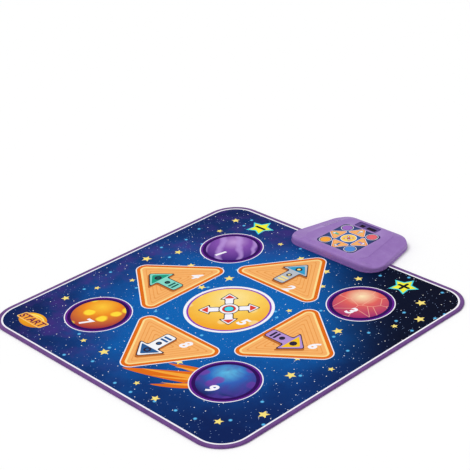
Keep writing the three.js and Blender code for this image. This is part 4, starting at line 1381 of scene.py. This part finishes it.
# %% [markdown]
# The cover is a thin shell. Its outline is a trapezium with round corners, 352 mm wide in front
# and 250 mm at the rear. Seen in section, the wall bows in to a shoulder, a slope rises from
# there, and a small crease leads round the raised deck. In front the deck lies near the edge, so
# the wall stands higher there, and a little higher at the rear.

# %% Console outlines and levels
console_x = middle_of("top_cover").x
console_low, console_high = corners_of("base_shell")
deck_z, parting_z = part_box("top_cover")[1].z / MM, 8
front_floor_z, rear_floor_z = 6.5, 4
console_ends, console_widths, console_radii = (console_low.y, console_high.y), (352, 250), (50, 60)
deck_ends, deck_widths, deck_radii = (380, 556), (236, 166), (30, 26)
shell_wall, deck_thickness = 2.2, 2.5
shoulder_inset, shoulder_z, slope_top_z = 9, 18.5, deck_z - 2.5
front_lift, front_lift_growth, rear_lift = 0.5, 0.3, 0.25


def tapered(front_y, rear_y, front, rear, front_corner, rear_corner, inset=0.0, steps=18):
    """A trapezium with round corners, drawn in by inset."""
    corners = [(console_x - front / 2, front_y), (console_x + front / 2, front_y)]
    corners += [(console_x + rear / 2, rear_y), (console_x - rear / 2, rear_y)]
    radii = [front_corner, front_corner, rear_corner, rear_corner]
    centres = [grown(corners, -radius)[i] for i, radius in enumerate(radii)]
    return rounded(centres, [radius - inset for radius in radii], steps)


def console_outline(inset=0.0):
    return tapered(*console_ends, *console_widths, *console_radii, inset)


def deck_outline(inset=0.0):
    return tapered(*deck_ends, *deck_widths, *deck_radii, inset)


def curve_through(handles, steps):
    """Points on the cubic curve with these four handles."""
    points = []
    for t in (i / steps for i in range(steps + 1)):
        weights = ((1 - t) ** 3, 3 * t * (1 - t) ** 2, 3 * t * t * (1 - t), t**3)
        points.append(tuple(sum(w * p[k] for w, p in zip(weights, handles)) for k in (0, 1)))
    return points


def eased(share):
    share = max(0, min(1, share))
    return share * share * (3 - 2 * share)


def wall_ring(inset, z):
    """A ring of the wall, which stands higher in front and at the rear, where the deck is near."""
    ring = []
    forward_lift = front_lift + front_lift_growth * inset / shoulder_inset
    for (x, y), facing in zip(console_outline(inset), facings):
        front, rear = eased((-facing - 0.6) / 0.4), eased((facing - 0.6) / 0.4)
        lift = 1 + forward_lift * front + rear_lift * rear
        ring.append((x, y, parting_z + lift * (z - parting_z)))
    return ring


print("console:", console_widths, "mm wide, deck", round(deck_z, 1), "mm high")

# %% [markdown]
# The shell is lofted through rings, down the inside of its wall and up the outside, and closed
# over the deck, so that its wall has a real thickness. Then the bosses that take the screws are
# joined to it. Its faces are divided into flat triangles first, because a cut through a bent face
# leaves slivers.

# %% Cover shell
wall_handles = [(0.9, parting_z + 0.5), (1.0, 16), (1.6, 18.4), (9, 18.5)]
slope_shares = (0.08, 0.3, 0.55, 0.8, 0.94)
deck_edge = [(-4, 27.5), (-2.6, 27.75), (-1.1, 28.3), (-0.35, 28.9)]
deck_edge += [(0.1, 29.4), (0.75, 29.8), (1.6, 30)]
inner_wall = [(3.1, parting_z), (4.7, 11.5), (7.2, 14.4), (11.2, 16.3)]
wall_pairs = zip(console_outline(), console_outline(shoulder_inset))
facings = [(a[1] - b[1]) / shoulder_inset for a, b in wall_pairs]

outer_rings = [level_ring(console_outline(1.35), parting_z)]
outer_rings += [wall_ring(inset, z) for inset, z in curve_through(wall_handles, 14)]
slope_low = wall_ring(shoulder_inset, shoulder_z)
slope_high = level_ring(deck_outline(-4), slope_top_z)
for share in slope_shares:
    pairs = zip(slope_low, slope_high)
    outer_rings.append([tuple(a + share * (b - a) for a, b in zip(*pair)) for pair in pairs])
outer_rings += [level_ring(deck_outline(inset), z) for inset, z in deck_edge]
inner_rings = [level_ring(console_outline(inset), z) for inset, z in inner_wall]
inner_rings.append(level_ring(deck_outline(-1.8), slope_top_z - shell_wall))
inner_rings.append(level_ring(deck_outline(2.2), deck_z - deck_thickness))
cover = skin("console_cover", inner_rings[::-1] + outer_rings, [lilac_abs, violet_abs, black_abs])

boss_radius, boss_gap, SUNK = 4.5, 0.3, 0.5  # SUNK is how far one joined form lies in another
boss_high = deck_z - deck_thickness + SUNK
screw_places = {i: middle_of(f"case_screw_{i}") for i in (1, 2, 3, 4)}
bosses = []
for place in screw_places.values():
    floor_z = front_floor_z if place.y < mat_half else rear_floor_z
    boss = circle(place.x, place.y, boss_radius, steps=32)
    bosses.append(prism(boss, floor_z + boss_gap, boss_high))
cover.modifiers.new("flat triangles", "TRIANGULATE")
carved(cover, bosses, "UNION")
print("shell:", len(outer_rings) + len(inner_rings), "rings")

# %% [markdown]
# Last come the openings: a pocket with a ledge that holds the light panel, a shallow painted
# recess with two windows for the score, a row of sound slots over the loudspeaker, the switch's
# opening in the rear wall, and a bore in each boss.

# %% Openings in the cover
panel_middle, panel_size = middle_of("light_panel"), size_of("light_panel")
panel_outline = rounded_box(panel_middle.x, panel_middle.y, panel_size.x, panel_size.y, 14)
panel_play, panel_ledge, recess_depth, opening_low = 0.3, 5, 1, deck_z - 4
recess_outline = rounded_box(1.5, 538.5, width=78, depth=27, radius=4, steps=8)
window_y, window_depth = middle_of("display_lens").y, 12.5
windows = {"display_one_digit": (-15, 14), "display_two_digit": (18, 29)}
speaker_middle, switch_middle = middle_of("speaker"), middle_of("power_switch")
slot_count, slot_pitch, slot_slant = 8, 7, 0.25
slot_length, slot_width, slot_corner = 14, 3, 1.45
recess_z, above = deck_z - recess_depth, deck_z + 1
switch_opening_y, screw_room = console_high.y - 4.5, 1.5

cuts = [
    prism(grown(panel_outline, panel_play), recess_z, above, flare=deck_z),
    prism(grown(panel_outline, -panel_ledge), opening_low, deck_z - recess_depth / 2),
    prism(recess_outline, recess_z, above, flare=deck_z, slot=1),
]
for x, width in windows.values():
    opening = rounded_box(x, window_y, width, window_depth, radius=1, steps=4)
    cuts.append(prism(opening, opening_low, deck_z + 0.4, flare=recess_z, slot=2))
for i in range(slot_count):
    along = (i - (slot_count - 1) / 2) * slot_pitch
    x, y = speaker_middle.x + slot_slant * along, speaker_middle.y + along
    sound_slot = rounded_box(x, y, slot_length, slot_width, slot_corner, steps=6)
    cuts.append(prism(sound_slot, shoulder_z - shell_wall, above))
cuts.append(block(switch_middle.x, switch_opening_y, width=9.6, depth=13.4, low=10.5, high=14.5))
for i, place in screw_places.items():
    hole_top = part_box(f"case_screw_{i}")[1].z / MM + screw_room
    cuts.append(prism(circle(place.x, place.y, SCREW_HOLE, steps=24), 0, hole_top))
carved(cover, cuts)
cover.modifiers.new("even shading", "WEIGHTED_NORMAL").keep_sharp = True
fitted(cover, "top_cover")
print("cover:", len(cover.data.polygons), "faces")

# %% [markdown]
# The base is a tray with two floors: a high one in front, which lies on the mat, and a low one
# behind the mat's edge. It holds the battery bay, the posts for the main board, the switch's shelf
# and the boss for the door's screw, and it has a groove that clears the thick edge tape.

# %% Base shell
door_low, door_high = corners_of("battery_door")
bay_y = (door_low.y + door_high.y) / 2
bay_width, bay_depth, bay_roof, bay_walls, roof_thickness = 57, 43.8, 17.8, 3, 1.5
door_recess_width, door_recess_depth, door_recess_z = 63.6, 50.4, 3
step_y, beyond = mat_half + 0.3, 400  # beyond is wider than the console
groove_play, front_form_z, rear_form_z = 0.3, front_floor_z - SUNK, rear_floor_z - SUNK
base_curve = [(2.0, 1.5), (1.1, 1.62), (0.4, 2.1), (0.05, 2.9), (0, 3.6)]
base_curve += [(0, 7.3), (0.2, 7.8), (0.7, 8)]
board_middle, board_size = middle_of("main_board"), size_of("main_board")
post_inset, post_radius, post_top = 6, 3, 10
door_screw_x, door_screw_hole, door_screw_boss = middle_of("door_screw").x, 1.3, 3.4
screw_head_hole, screw_head_z = 3.1, 2.9
base_rings = [level_ring(console_outline(inset), z) for inset, z in base_curve]
base = skin("console_base", base_rings, [purple_abs, black_abs])

tray = prism(console_outline(shell_wall), rear_floor_z, parting_z + 1)
high_floor_y = step_y + shell_wall - beyond / 2
carved(tray, [block(console_x, high_floor_y, beyond, beyond, 0, front_floor_z)])
under_mat = block(console_x, step_y - beyond / 2, beyond, beyond, 0, sheet_high)
groove_y, groove_depth = mat_half - tape_width / 2, tape_width + 2 * groove_play
groove = block(console_x, groove_y, beyond, groove_depth, 0, tape_top + groove_play)
carved(base, [under_mat, groove, tray])

bay_block = (bay_width + bay_walls, bay_depth + bay_walls, rear_form_z, bay_roof + roof_thickness)
inner_forms = [block(console_x, bay_y, *bay_block)]
for side in (-1, 1):
    post_x = board_middle.x + side * (board_size.x / 2 - post_inset)
    for end, post_low in ((-1, front_form_z), (1, rear_form_z)):
        post_y = board_middle.y + end * (board_size.y / 2 - post_inset)
        post = circle(post_x, post_y, post_radius, steps=24)
        inner_forms.append(prism(post, post_low, post_top))
screw_boss = circle(door_screw_x, bay_y, door_screw_boss, steps=24)
inner_forms.append(prism(screw_boss, rear_form_z, post_top))
switch_shelf = block(*switch_middle.xy, width=16, depth=6, low=rear_form_z, high=9)
carved(base, [*inner_forms, switch_shelf], "UNION")
base_cuts = [
    block(console_x, bay_y, bay_width, bay_depth, 0, bay_roof),
    block(console_x, bay_y, door_recess_width, door_recess_depth, 0, door_recess_z),
    block(door_screw_x + 0.3, bay_y, width=10.2, depth=16.6, low=0, high=door_recess_z + 0.01),
    prism(circle(door_screw_x, bay_y, door_screw_hole, steps=20), 0, 8.8),
    block(console_x, tail_y, *tail_slot_size, rear_form_z, 7.5),
]
for place in screw_places.values():
    base_cuts.append(prism(circle(place.x, place.y, SCREW_HOLE, steps=24), 0, 7.5))
    if place.y > mat_half:
        head_hole = circle(place.x, place.y, screw_head_hole, steps=32)
        base_cuts.append(prism(head_hole, 0, screw_head_z))
carved(base, base_cuts)
base.modifiers.new("even shading", "WEIGHTED_NORMAL").keep_sharp = True
fitted(base, "base_shell")
print("base:", len(base.data.polygons), "faces")

# %% [markdown]
# Screws are zinc-plated steel, whose look is a bright, slightly blue grey with fine scratches.
# Cells are steel cans in a shrunk plastic jacket, and feet are moulded rubber. Circuit boards are
# green solder mask over copper. Rubber, paper, ferrite and jackets differ only in their tones,
# grain and gloss, so one function makes them all.

# %% Finishes of the small parts


def zinc_finish():
    """Zinc-plated steel: metal with fine scratches along one way."""
    material, tree, at = start_material("zinc-plated steel")
    drawn = add(tree, "VectorMath", {0: at, 1: (300.0, 2600.0, 300.0)}, operation="MULTIPLY")
    scratches = add(tree, "TexNoise", {"Vector": drawn, "Scale": 1.0, "Detail": 4.0})
    tone = add(tree, "ValToRGB", {"Fac": scratches}, stops=[(0.3, "9ea2a8"), (0.7, "c9ccd2")])
    gloss = add(tree, "MapRange", {"Value": scratches, "To Min": 0.25, "To Max": 0.5})
    return finish(material, {"Base Color": tone, "Roughness": gloss, "Metallic": 1.0})


def speckled(name, dark, light, grain, roughness, depth=0.05, more=()):
    """A finish of two near tones in fine grains, as of rubber, paper, foam or painted metal."""
    material, tree, at = start_material(name)
    specks = add(tree, "TexNoise", {"Vector": at, "Scale": 1 / (grain * MM), "Detail": 5.0})
    tone = add(tree, "ValToRGB", {"Fac": specks}, stops=[(0.35, dark), (0.65, light)])
    gloss = {"Value": specks, "To Min": roughness, "To Max": roughness + 0.15}
    relief = {"Strength": 0.3, "Distance": depth * MM, "Height": specks}
    inputs = {"Base Color": tone, "Roughness": add(tree, "MapRange", gloss)}
    return finish(material, {**inputs, "Normal": add(tree, "Bump", relief), **dict(more)})


def board_finish():
    """Green solder mask over glass fibre, with copper tracks and tinned pads showing through."""
    material, tree, at = start_material("green solder-masked circuit board")
    maze = {"voronoi_dimensions": "2D", "distance": "CHEBYCHEV", "feature": "DISTANCE_TO_EDGE"}
    edge = add(tree, "TexVoronoi", {"Vector": at, "Scale": 1 / (5 * MM)}, **maze)
    colour = "1b5e35"
    track = add(tree, "MapRange", {"Value": edge, "From Min": 0.09, "From Max": 0.06})
    pads = dots(tree, at, spacing=5, radius=0.9, chance=0.6, softness=0.1)
    for share, tint in ((track, "2f7d48"), (pads, "c6c8c4")):
        colour = add(tree, "Mix", {0: share, 6: colour, 7: tint}, 2, data_type="RGBA")
    relief = add(tree, "Bump", {"Strength": 0.3, "Distance": 0.1 * MM, "Height": track})
    return finish(material, {"Base Color": colour, "Roughness": 0.35, "Normal": relief})


def lamp_finish():
    """A white lamp package with a round yellow phosphor window in its middle."""
    material, tree, at = start_material("white lamp package with phosphor", "Generated")
    away = add(tree, "VectorMath", {0: at, 1: (0.5, 0.5, 1.0)}, "Value", operation="DISTANCE")
    stops = [(0.0, "f2e26a"), (0.36, "ecd94e"), (0.38, "f4f4ee")]
    tone = add(tree, "ValToRGB", {"Fac": away}, stops=stops)
    return finish(material, {"Base Color": tone, "Roughness": 0.35})


print("finishes:", len(bpy.data.materials))

# %% [markdown]
# Most pieces inside the console are seen only when it is open. They and the display's flat lens
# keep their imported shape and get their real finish: bare steel, black and white plastic, green
# boards, white lamps and smoked acrylic.

# %% Finishes in place


def refinish(material, *nodes):
    """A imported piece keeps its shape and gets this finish."""
    for node in nodes:
        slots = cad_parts[node].data.materials
        for i in range(len(slots)):
            slots[i] = material


shrunk, dull = {"Coat Weight": 0.4}, {"Specular IOR Level": 0.04}
zinc, bare_board = zinc_finish(), board_finish()
rubber = speckled("black moulded rubber", "19191b", "2a2a2d", 0.8, 0.75)
paper_cone = speckled("pressed paper cone", "202022", "343437", 0.7, 0.85)
ferrite = speckled("grey ferrite magnet", "3c3c40", "55555a", 0.6, 0.6)
jacket = speckled("green shrunk plastic jacket", "1f7a4c", "2a8a58", 3.0, 0.3, more=shrunk)
jacket_band = speckled("pale grey shrunk plastic jacket", "c4c8c6", "d2d5d3", 3.0, 0.3, more=shrunk)
smoked_lens = speckled("smoked acrylic lens", "160520", "1c0828", 6.0, 0.12, 0.005, dull)
segment_ink = speckled("unlit red segment window", "4a1c20", "5c2428", 2.0, 0.3)

refinish(film_finish("Object"), "mat_tail")
refinish(black_abs, "clamp_strip", "power_switch")
refinish(white_abs, "light_grid")
refinish(bare_board, "light_board", "main_board")
refinish(lamp_finish(), *[f"light_{i}" for i in range(1, 10)])
refinish(smoked_lens, "display_lens")
for kind in ("terminal", "bridge"):
    refinish(zinc, f"contact_{kind}_left", f"contact_{kind}_right")
print("inner pieces have their finishes")

# %% [markdown]
# Round parts are turned: a half section is swept round an axis. Screws have a domed head with a
# cross recess and rings that stand for the thread. The loudspeaker is a magnet, a paper cone and
# a plastic rim in one section.

# %% Turned parts
THREAD_PITCH, THREAD_CORE = 1.1, 0.82  # in millimetres, and as a share of the shank's radius


def turned(name, x, y, profile, materials, steps=40):
    """A round part about an upright axis, from its section as radii and heights, bottom up."""
    rings = [level_ring(circle(x, y, radius, steps), z) for radius, z in profile]
    return skin(name, rings, materials)


def paint(piece, slot, test):
    """The faces whose middle passes the test, in millimetres, take the finish in this slot."""
    for face in piece.data.polygons:
        if test(face.center / MM):
            face.material_index = slot


def screw(name, body, head_height, length, shank, head):
    """A screw that points up, its domed head at the bottom, with a cross recess."""
    place = middle_of(name)
    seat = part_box(name)[0].z / MM + head_height
    low, core = seat - head_height, shank * THREAD_CORE
    rises = [(0.3, 0), (0.62, 0.05), (0.88, head_height * 0.3), (1, head_height * 0.7)]
    section = [(head * share, low + rise) for share, rise in rises] + [(head, seat), (core, seat)]
    for i in range(int((length - 1) / THREAD_PITCH)):
        z = seat + 0.4 + i * THREAD_PITCH
        section += [(core, z), (shank, z + THREAD_PITCH * 0.35), (core, z + THREAD_PITCH * 0.7)]
    section.append((0.25, seat + length))
    piece = turned(name + "_turned", place.x, place.y, section, [zinc], 28)
    arm, reach, recess = head * 0.22, head * 1.1, low + head_height * 0.55
    cross = [block(place.x, place.y, reach, arm, low - 1, recess)]
    cross.append(block(place.x, place.y, arm, reach, low - 1.01, recess + 0.01))
    carved(piece, cross)
    return fitted(piece, name, body)


for i in screw_places:
    screw(f"case_screw_{i}", "mat", head_height=1.2, length=15, shank=1.3, head=2.8)
screw("door_screw", "door", head_height=0.9, length=7, shank=1, head=2.4)

foot_section = [(5.6, 0), (6.4, 0.06), (6.85, 0.3), (7, 0.7), (7, 1.5)]
for name in ("foot_left", "foot_right"):
    place = middle_of(name)
    foot = turned(f"{name}_pad", place.x, place.y, foot_section, [rubber])
    fitted(foot, name)

cone_radius, magnet_top = 17, 9
speaker_section = [(12.6, 4), (13, 4.4), (13, 9), (17, 13.2), (18.6, 14.9), (19, 15.3), (19, 17)]
speaker_section += [(17.2, 17), (16.6, 16.7), (15.9, 16.6), (15.2, 16.4), (8, 13.2), (7.6, 13.4)]
speaker_section += [(6.2, 14.3), (4, 14.9), (1.5, 15.15)]
speaker_finishes = [ferrite, paper_cone, black_abs]
loudspeaker = turned("loudspeaker", *speaker_middle.xy, speaker_section, speaker_finishes)


def out_of_middle(spot):
    return math.dist(spot.xy, speaker_middle.xy)


paint(loudspeaker, 1, lambda spot: spot.z > 13 and out_of_middle(spot) < cone_radius)
paint(loudspeaker, 2, lambda spot: spot.z > magnet_top and out_of_middle(spot) > cone_radius)
fitted(loudspeaker, "speaker")
print("turned parts in place")

# %% [markdown]
# The three cells are turned standing up and then laid down, every second one the other way round,
# as they lie in the bay.

# %% Cells
cell_length, band_top = 50.2, 15
cell_section = [(6.1, 0), (6.5, 0.1), (6.9, 0.35), (7.1, 0.8), (7.1, band_top), (7.1, 48.2)]
cell_section += [(6.9, 48.8), (6.3, 49.1), (5.2, 49.2), (2.8, 49.2), (2.7, 49.6), (2.5, 50.1)]
cell_section.append((2.2, cell_length))
for i in (1, 2, 3):
    cell = turned(f"dry_cell_{i}", 0, 0, cell_section, [jacket, jacket_band, zinc])
    paint(cell, 1, lambda middle: middle.z < band_top)
    paint(cell, 2, lambda middle: middle.z > 48.9 or middle.z < 0.2)
    side = 1 if i % 2 else -1
    lie_down = Matrix.Rotation(math.radians(90 * side), 4, "Y")
    place = middle_of(f"battery_cell_{i}")
    start = place * MM - Vector((side * cell_length / 2 * MM, 0, 0))
    cell.data.transform(Matrix.Translation(start) @ lie_down)
    fitted(finish_mesh(cell), f"battery_cell_{i}")
print("cells:", cell_length, "mm long")

# %% [markdown]
# The battery door is a flat plate with a tab for its screw. Ribs across it, 1.6 mm apart, give the
# fingers a hold and keep the thin plate flat.

# %% Battery door
tab_length, tab_half, door_corner, door_chamfer = 9, 8, 1.6, 0.3
rib_count, rib_pitch, rib_middle_x = 9, 1.6, console_x + 16
tab_x, tab_end = door_low.x, door_low.x + tab_length
door_outline = [(tab_x, bay_y - tab_half), (tab_end, bay_y - tab_half), (tab_end, door_low.y)]
door_outline += [(door_high.x, door_low.y), (door_high.x, door_high.y), (tab_end, door_high.y)]
door_outline += [(tab_end, bay_y + tab_half), (tab_x, bay_y + tab_half)]
door_outline = softened(door_outline, door_corner)
door_levels = [(-door_chamfer, door_low.z), (0, door_low.z + door_chamfer), (0, door_high.z)]
door_rings = [level_ring(grown(door_outline, growth), z) for growth, z in door_levels]
door = skin("battery_door_ribbed", door_rings, [purple_abs])
door_cuts = [prism(circle(door_screw_x, bay_y, door_screw_hole, 24), 0, 4)]
for i in range(rib_count):
    rib_x = rib_middle_x + rib_pitch * (i - rib_count // 2)
    door_cuts.append(block(rib_x, bay_y, 0.7, 26, 1, door_low.z + 0.35))
carved(door, door_cuts)
fitted(door, "battery_door", "door")
print("door:", rib_count, "grooves")

# %% [markdown]
# The switch's knob stands out of the rear wall and slides sideways. Its face has upright ribs, so
# that a fingertip moves it without slipping.

# %% Switch knob
knob, (knob_low, knob_high) = middle_of("switch_knob"), corners_of("switch_knob")
knob_half, knob_half_height, knob_chamfer, rib_depth, flange_half = 2.5, 1.7, 0.25, 0.5, 3.9
knob_outline = [(knob.x - knob_half, knob_low.y), (knob.x + knob_half, knob_low.y)]
for i in range(9):
    groove_x = knob.x + knob_half - 2 * knob_half * i / 8
    knob_outline.append((groove_x, knob_high.y - (0 if i % 2 else rib_depth)))
straight = knob_half_height - knob_chamfer
knob_levels = [(-knob_chamfer, -knob_half_height), (0, -straight), (0, straight)]
knob_levels.append((-knob_chamfer, knob_half_height))
knob_rings = [level_ring(grown(knob_outline, growth), knob.z + z) for growth, z in knob_levels]
ribbed_knob = skin("ribbed_knob", knob_rings, [black_abs])
flange_outline = rounded_box(knob.x, knob_low.y + 0.7, 2 * flange_half, 1.4, 0.2, 2)
carved(ribbed_knob, [prism(flange_outline, knob_low.z, knob_high.z)], "UNION")
fitted(ribbed_knob, "switch_knob", "switch")
print("knob:", 2 * knob_half, "mm wide")

# %% [markdown]
# The light panel is a printed polycarbonate sheet in the deck. Polycarbonate film is smoother and
# glossier than cloth, with a fine satin grain, so it reads as plastic beside the mat.

# %% Light panel's film
field_colours = ("1560ac", "11225c")
film_colours = {
    "white": "f2f0f6",
    "dark": "2a1a5c",
    "violet ball": "9a62c0",
    "red ball": "e4606a",
    "amber ball": "f7a52a",
    "blue ball": "3f86d4",
    "orange": "e8761e",
    "peach": "f6b061",
    "yellow": "fbcb55",
    "grey": "b9bec6",
    "teal": "3fb79c",
    "lilac": "a684cc",
    "blue": "3a6ea4",
    "red": "dd3f35",
}


def satin_film(name, colour):
    """Printed polycarbonate film: colour is a hex colour, or a function as for the cloth."""
    material, tree, at = start_material(f"{name} printed polycarbonate")
    ink = colour(tree, at) if callable(colour) else colour
    inputs = mottled(tree, at, ink, 220.0, 0.22, 0.38)
    return finish(material, {**inputs, "IOR": 1.58, "Specular IOR Level": 0.1})


def panel_field(tree, at):
    """Blue in the panel's middle and navy at its rim."""
    middle = {0: at, 1: tuple(panel_middle * MM)}
    reach = add(tree, "VectorMath", middle, "Value", operation="DISTANCE")
    share = add(tree, "Math", {0: reach, 1: 10.0}, operation="MULTIPLY")
    return add(tree, "ValToRGB", {"Fac": share}, stops=list(zip((0.1, 0.75), field_colours)))


films = {name: satin_film(name, hex_colour) for name, hex_colour in film_colours.items()}
ground = satin_film("ground", panel_field)
print("panel colours:", ", ".join(films))

# %% [markdown]
# The panel's print repeats the mat's own layout at about a fifth of its size, so that the lamp
# under each field shows which pad to step on. It leaves out the numerals and the finest lines,
# which would be too small to print.

# %% Light panel's print
PANEL_SCALE = 0.19


def small(*loops):
    """The mat's outlines at the panel's scale and place."""
    return [placed(loop, panel_middle.x, panel_middle.y, 0, PANEL_SCALE) for loop in loops]


panel_prints = []
for number, film in {1: "violet ball", 3: "red ball", 7: "amber ball", 9: "blue ball"}.items():
    spot = middle_of(f"pad_{number}")
    for radius, name in ((94, "white"), (86, "dark"), (76, film)):
        panel_prints.append((films[name], small(circle(spot.x, spot.y, radius))))
arrow_films = {2: "grey", 4: "teal", 6: "lilac", 8: "blue"}
for number, turn in wedge_turns.items():
    spot = middle_of(f"pad_{number}")
    sign = arrow_parts(spot.x, spot.y, turn)
    for inset, name in ((-7, "white"), (1, "orange"), (13, "peach")):
        panel_prints.append((films[name], small(wedge(turn, inset))))
    for part, name in (("outline", "dark"), ("shaft", arrow_films[number]), ("head", "white")):
        panel_prints.append((films[name], small(*sign[part])))
panel_prints += [
    (films["white"], small(circle(0, 0, centre_radius + 8))),
    (films["yellow"], small(circle(0, 0, centre_radius - 2))),
    (films["dark"], small(*around_hub(small_arrow, 2, 6))),
    (films["white"], small(*around_hub(small_arrow, -2, 4))),
    (films["red"], small(*around_hub(small_head, 0, 4))),
    (films["dark"], small(circle(0, 0, 26))),
    (films["red"], small(circle(0, 0, 18))),
]
panel_sheet = cut_sheet(
    "printed_light_panel", panel_outline, recess_z, deck_z, ground, prints=panel_prints
)
fitted(panel_sheet, "light_panel")
print("panel:", len(panel_sheet.data.polygons), "faces")

# %% [markdown]
# Behind the two windows sit the score display's blocks: one digit and two digits, of seven
# segments each. They are unlit, so only faint bars show through the smoked lens.

# %% Display blocks
digit_width, digit_height, segment_width = 5.4, 9.4, 1.3
digit_places = {"display_one_digit": [0], "display_two_digit": [-6.5, 6.5]}


def segments(x, y):
    """The seven bars of one digit, pointed at both ends."""
    half_width, half_height, tip = digit_width / 2, digit_height / 2, segment_width / 2
    bars = [(0, half_height, 0), (0, 0, 0), (0, -half_height, 0)]
    for side in (-half_width, half_width):
        bars += [(side, half_height / 2, 1), (side, -half_height / 2, 1)]
    loops = []
    for dx, dy, upright in bars:
        reach = (half_height if upright else digit_width) / 2 - 0.15
        hexagon = [(-reach, 0), (tip - reach, -tip), (reach - tip, -tip)]
        hexagon += [(reach, 0), (reach - tip, tip), (tip - reach, tip)]
        loops.append(placed(hexagon, x + dx, y + dy, math.pi / 2 * upright))
    return loops


for name, (x, _) in windows.items():
    low, high = corners_of(name)
    bars = [bar for offset in digit_places[name] for bar in segments(x + offset, window_y)]
    outline = rounded_box(x, window_y, high.x - low.x, high.y - low.y, 0.4, 3)
    prints = [(segment_ink, bars)]
    digit_block = cut_sheet(f"{name}_block", outline, low.z, high.z, black_abs, prints=prints)
    fitted(digit_block, name)
print("display:", ", ".join(windows))
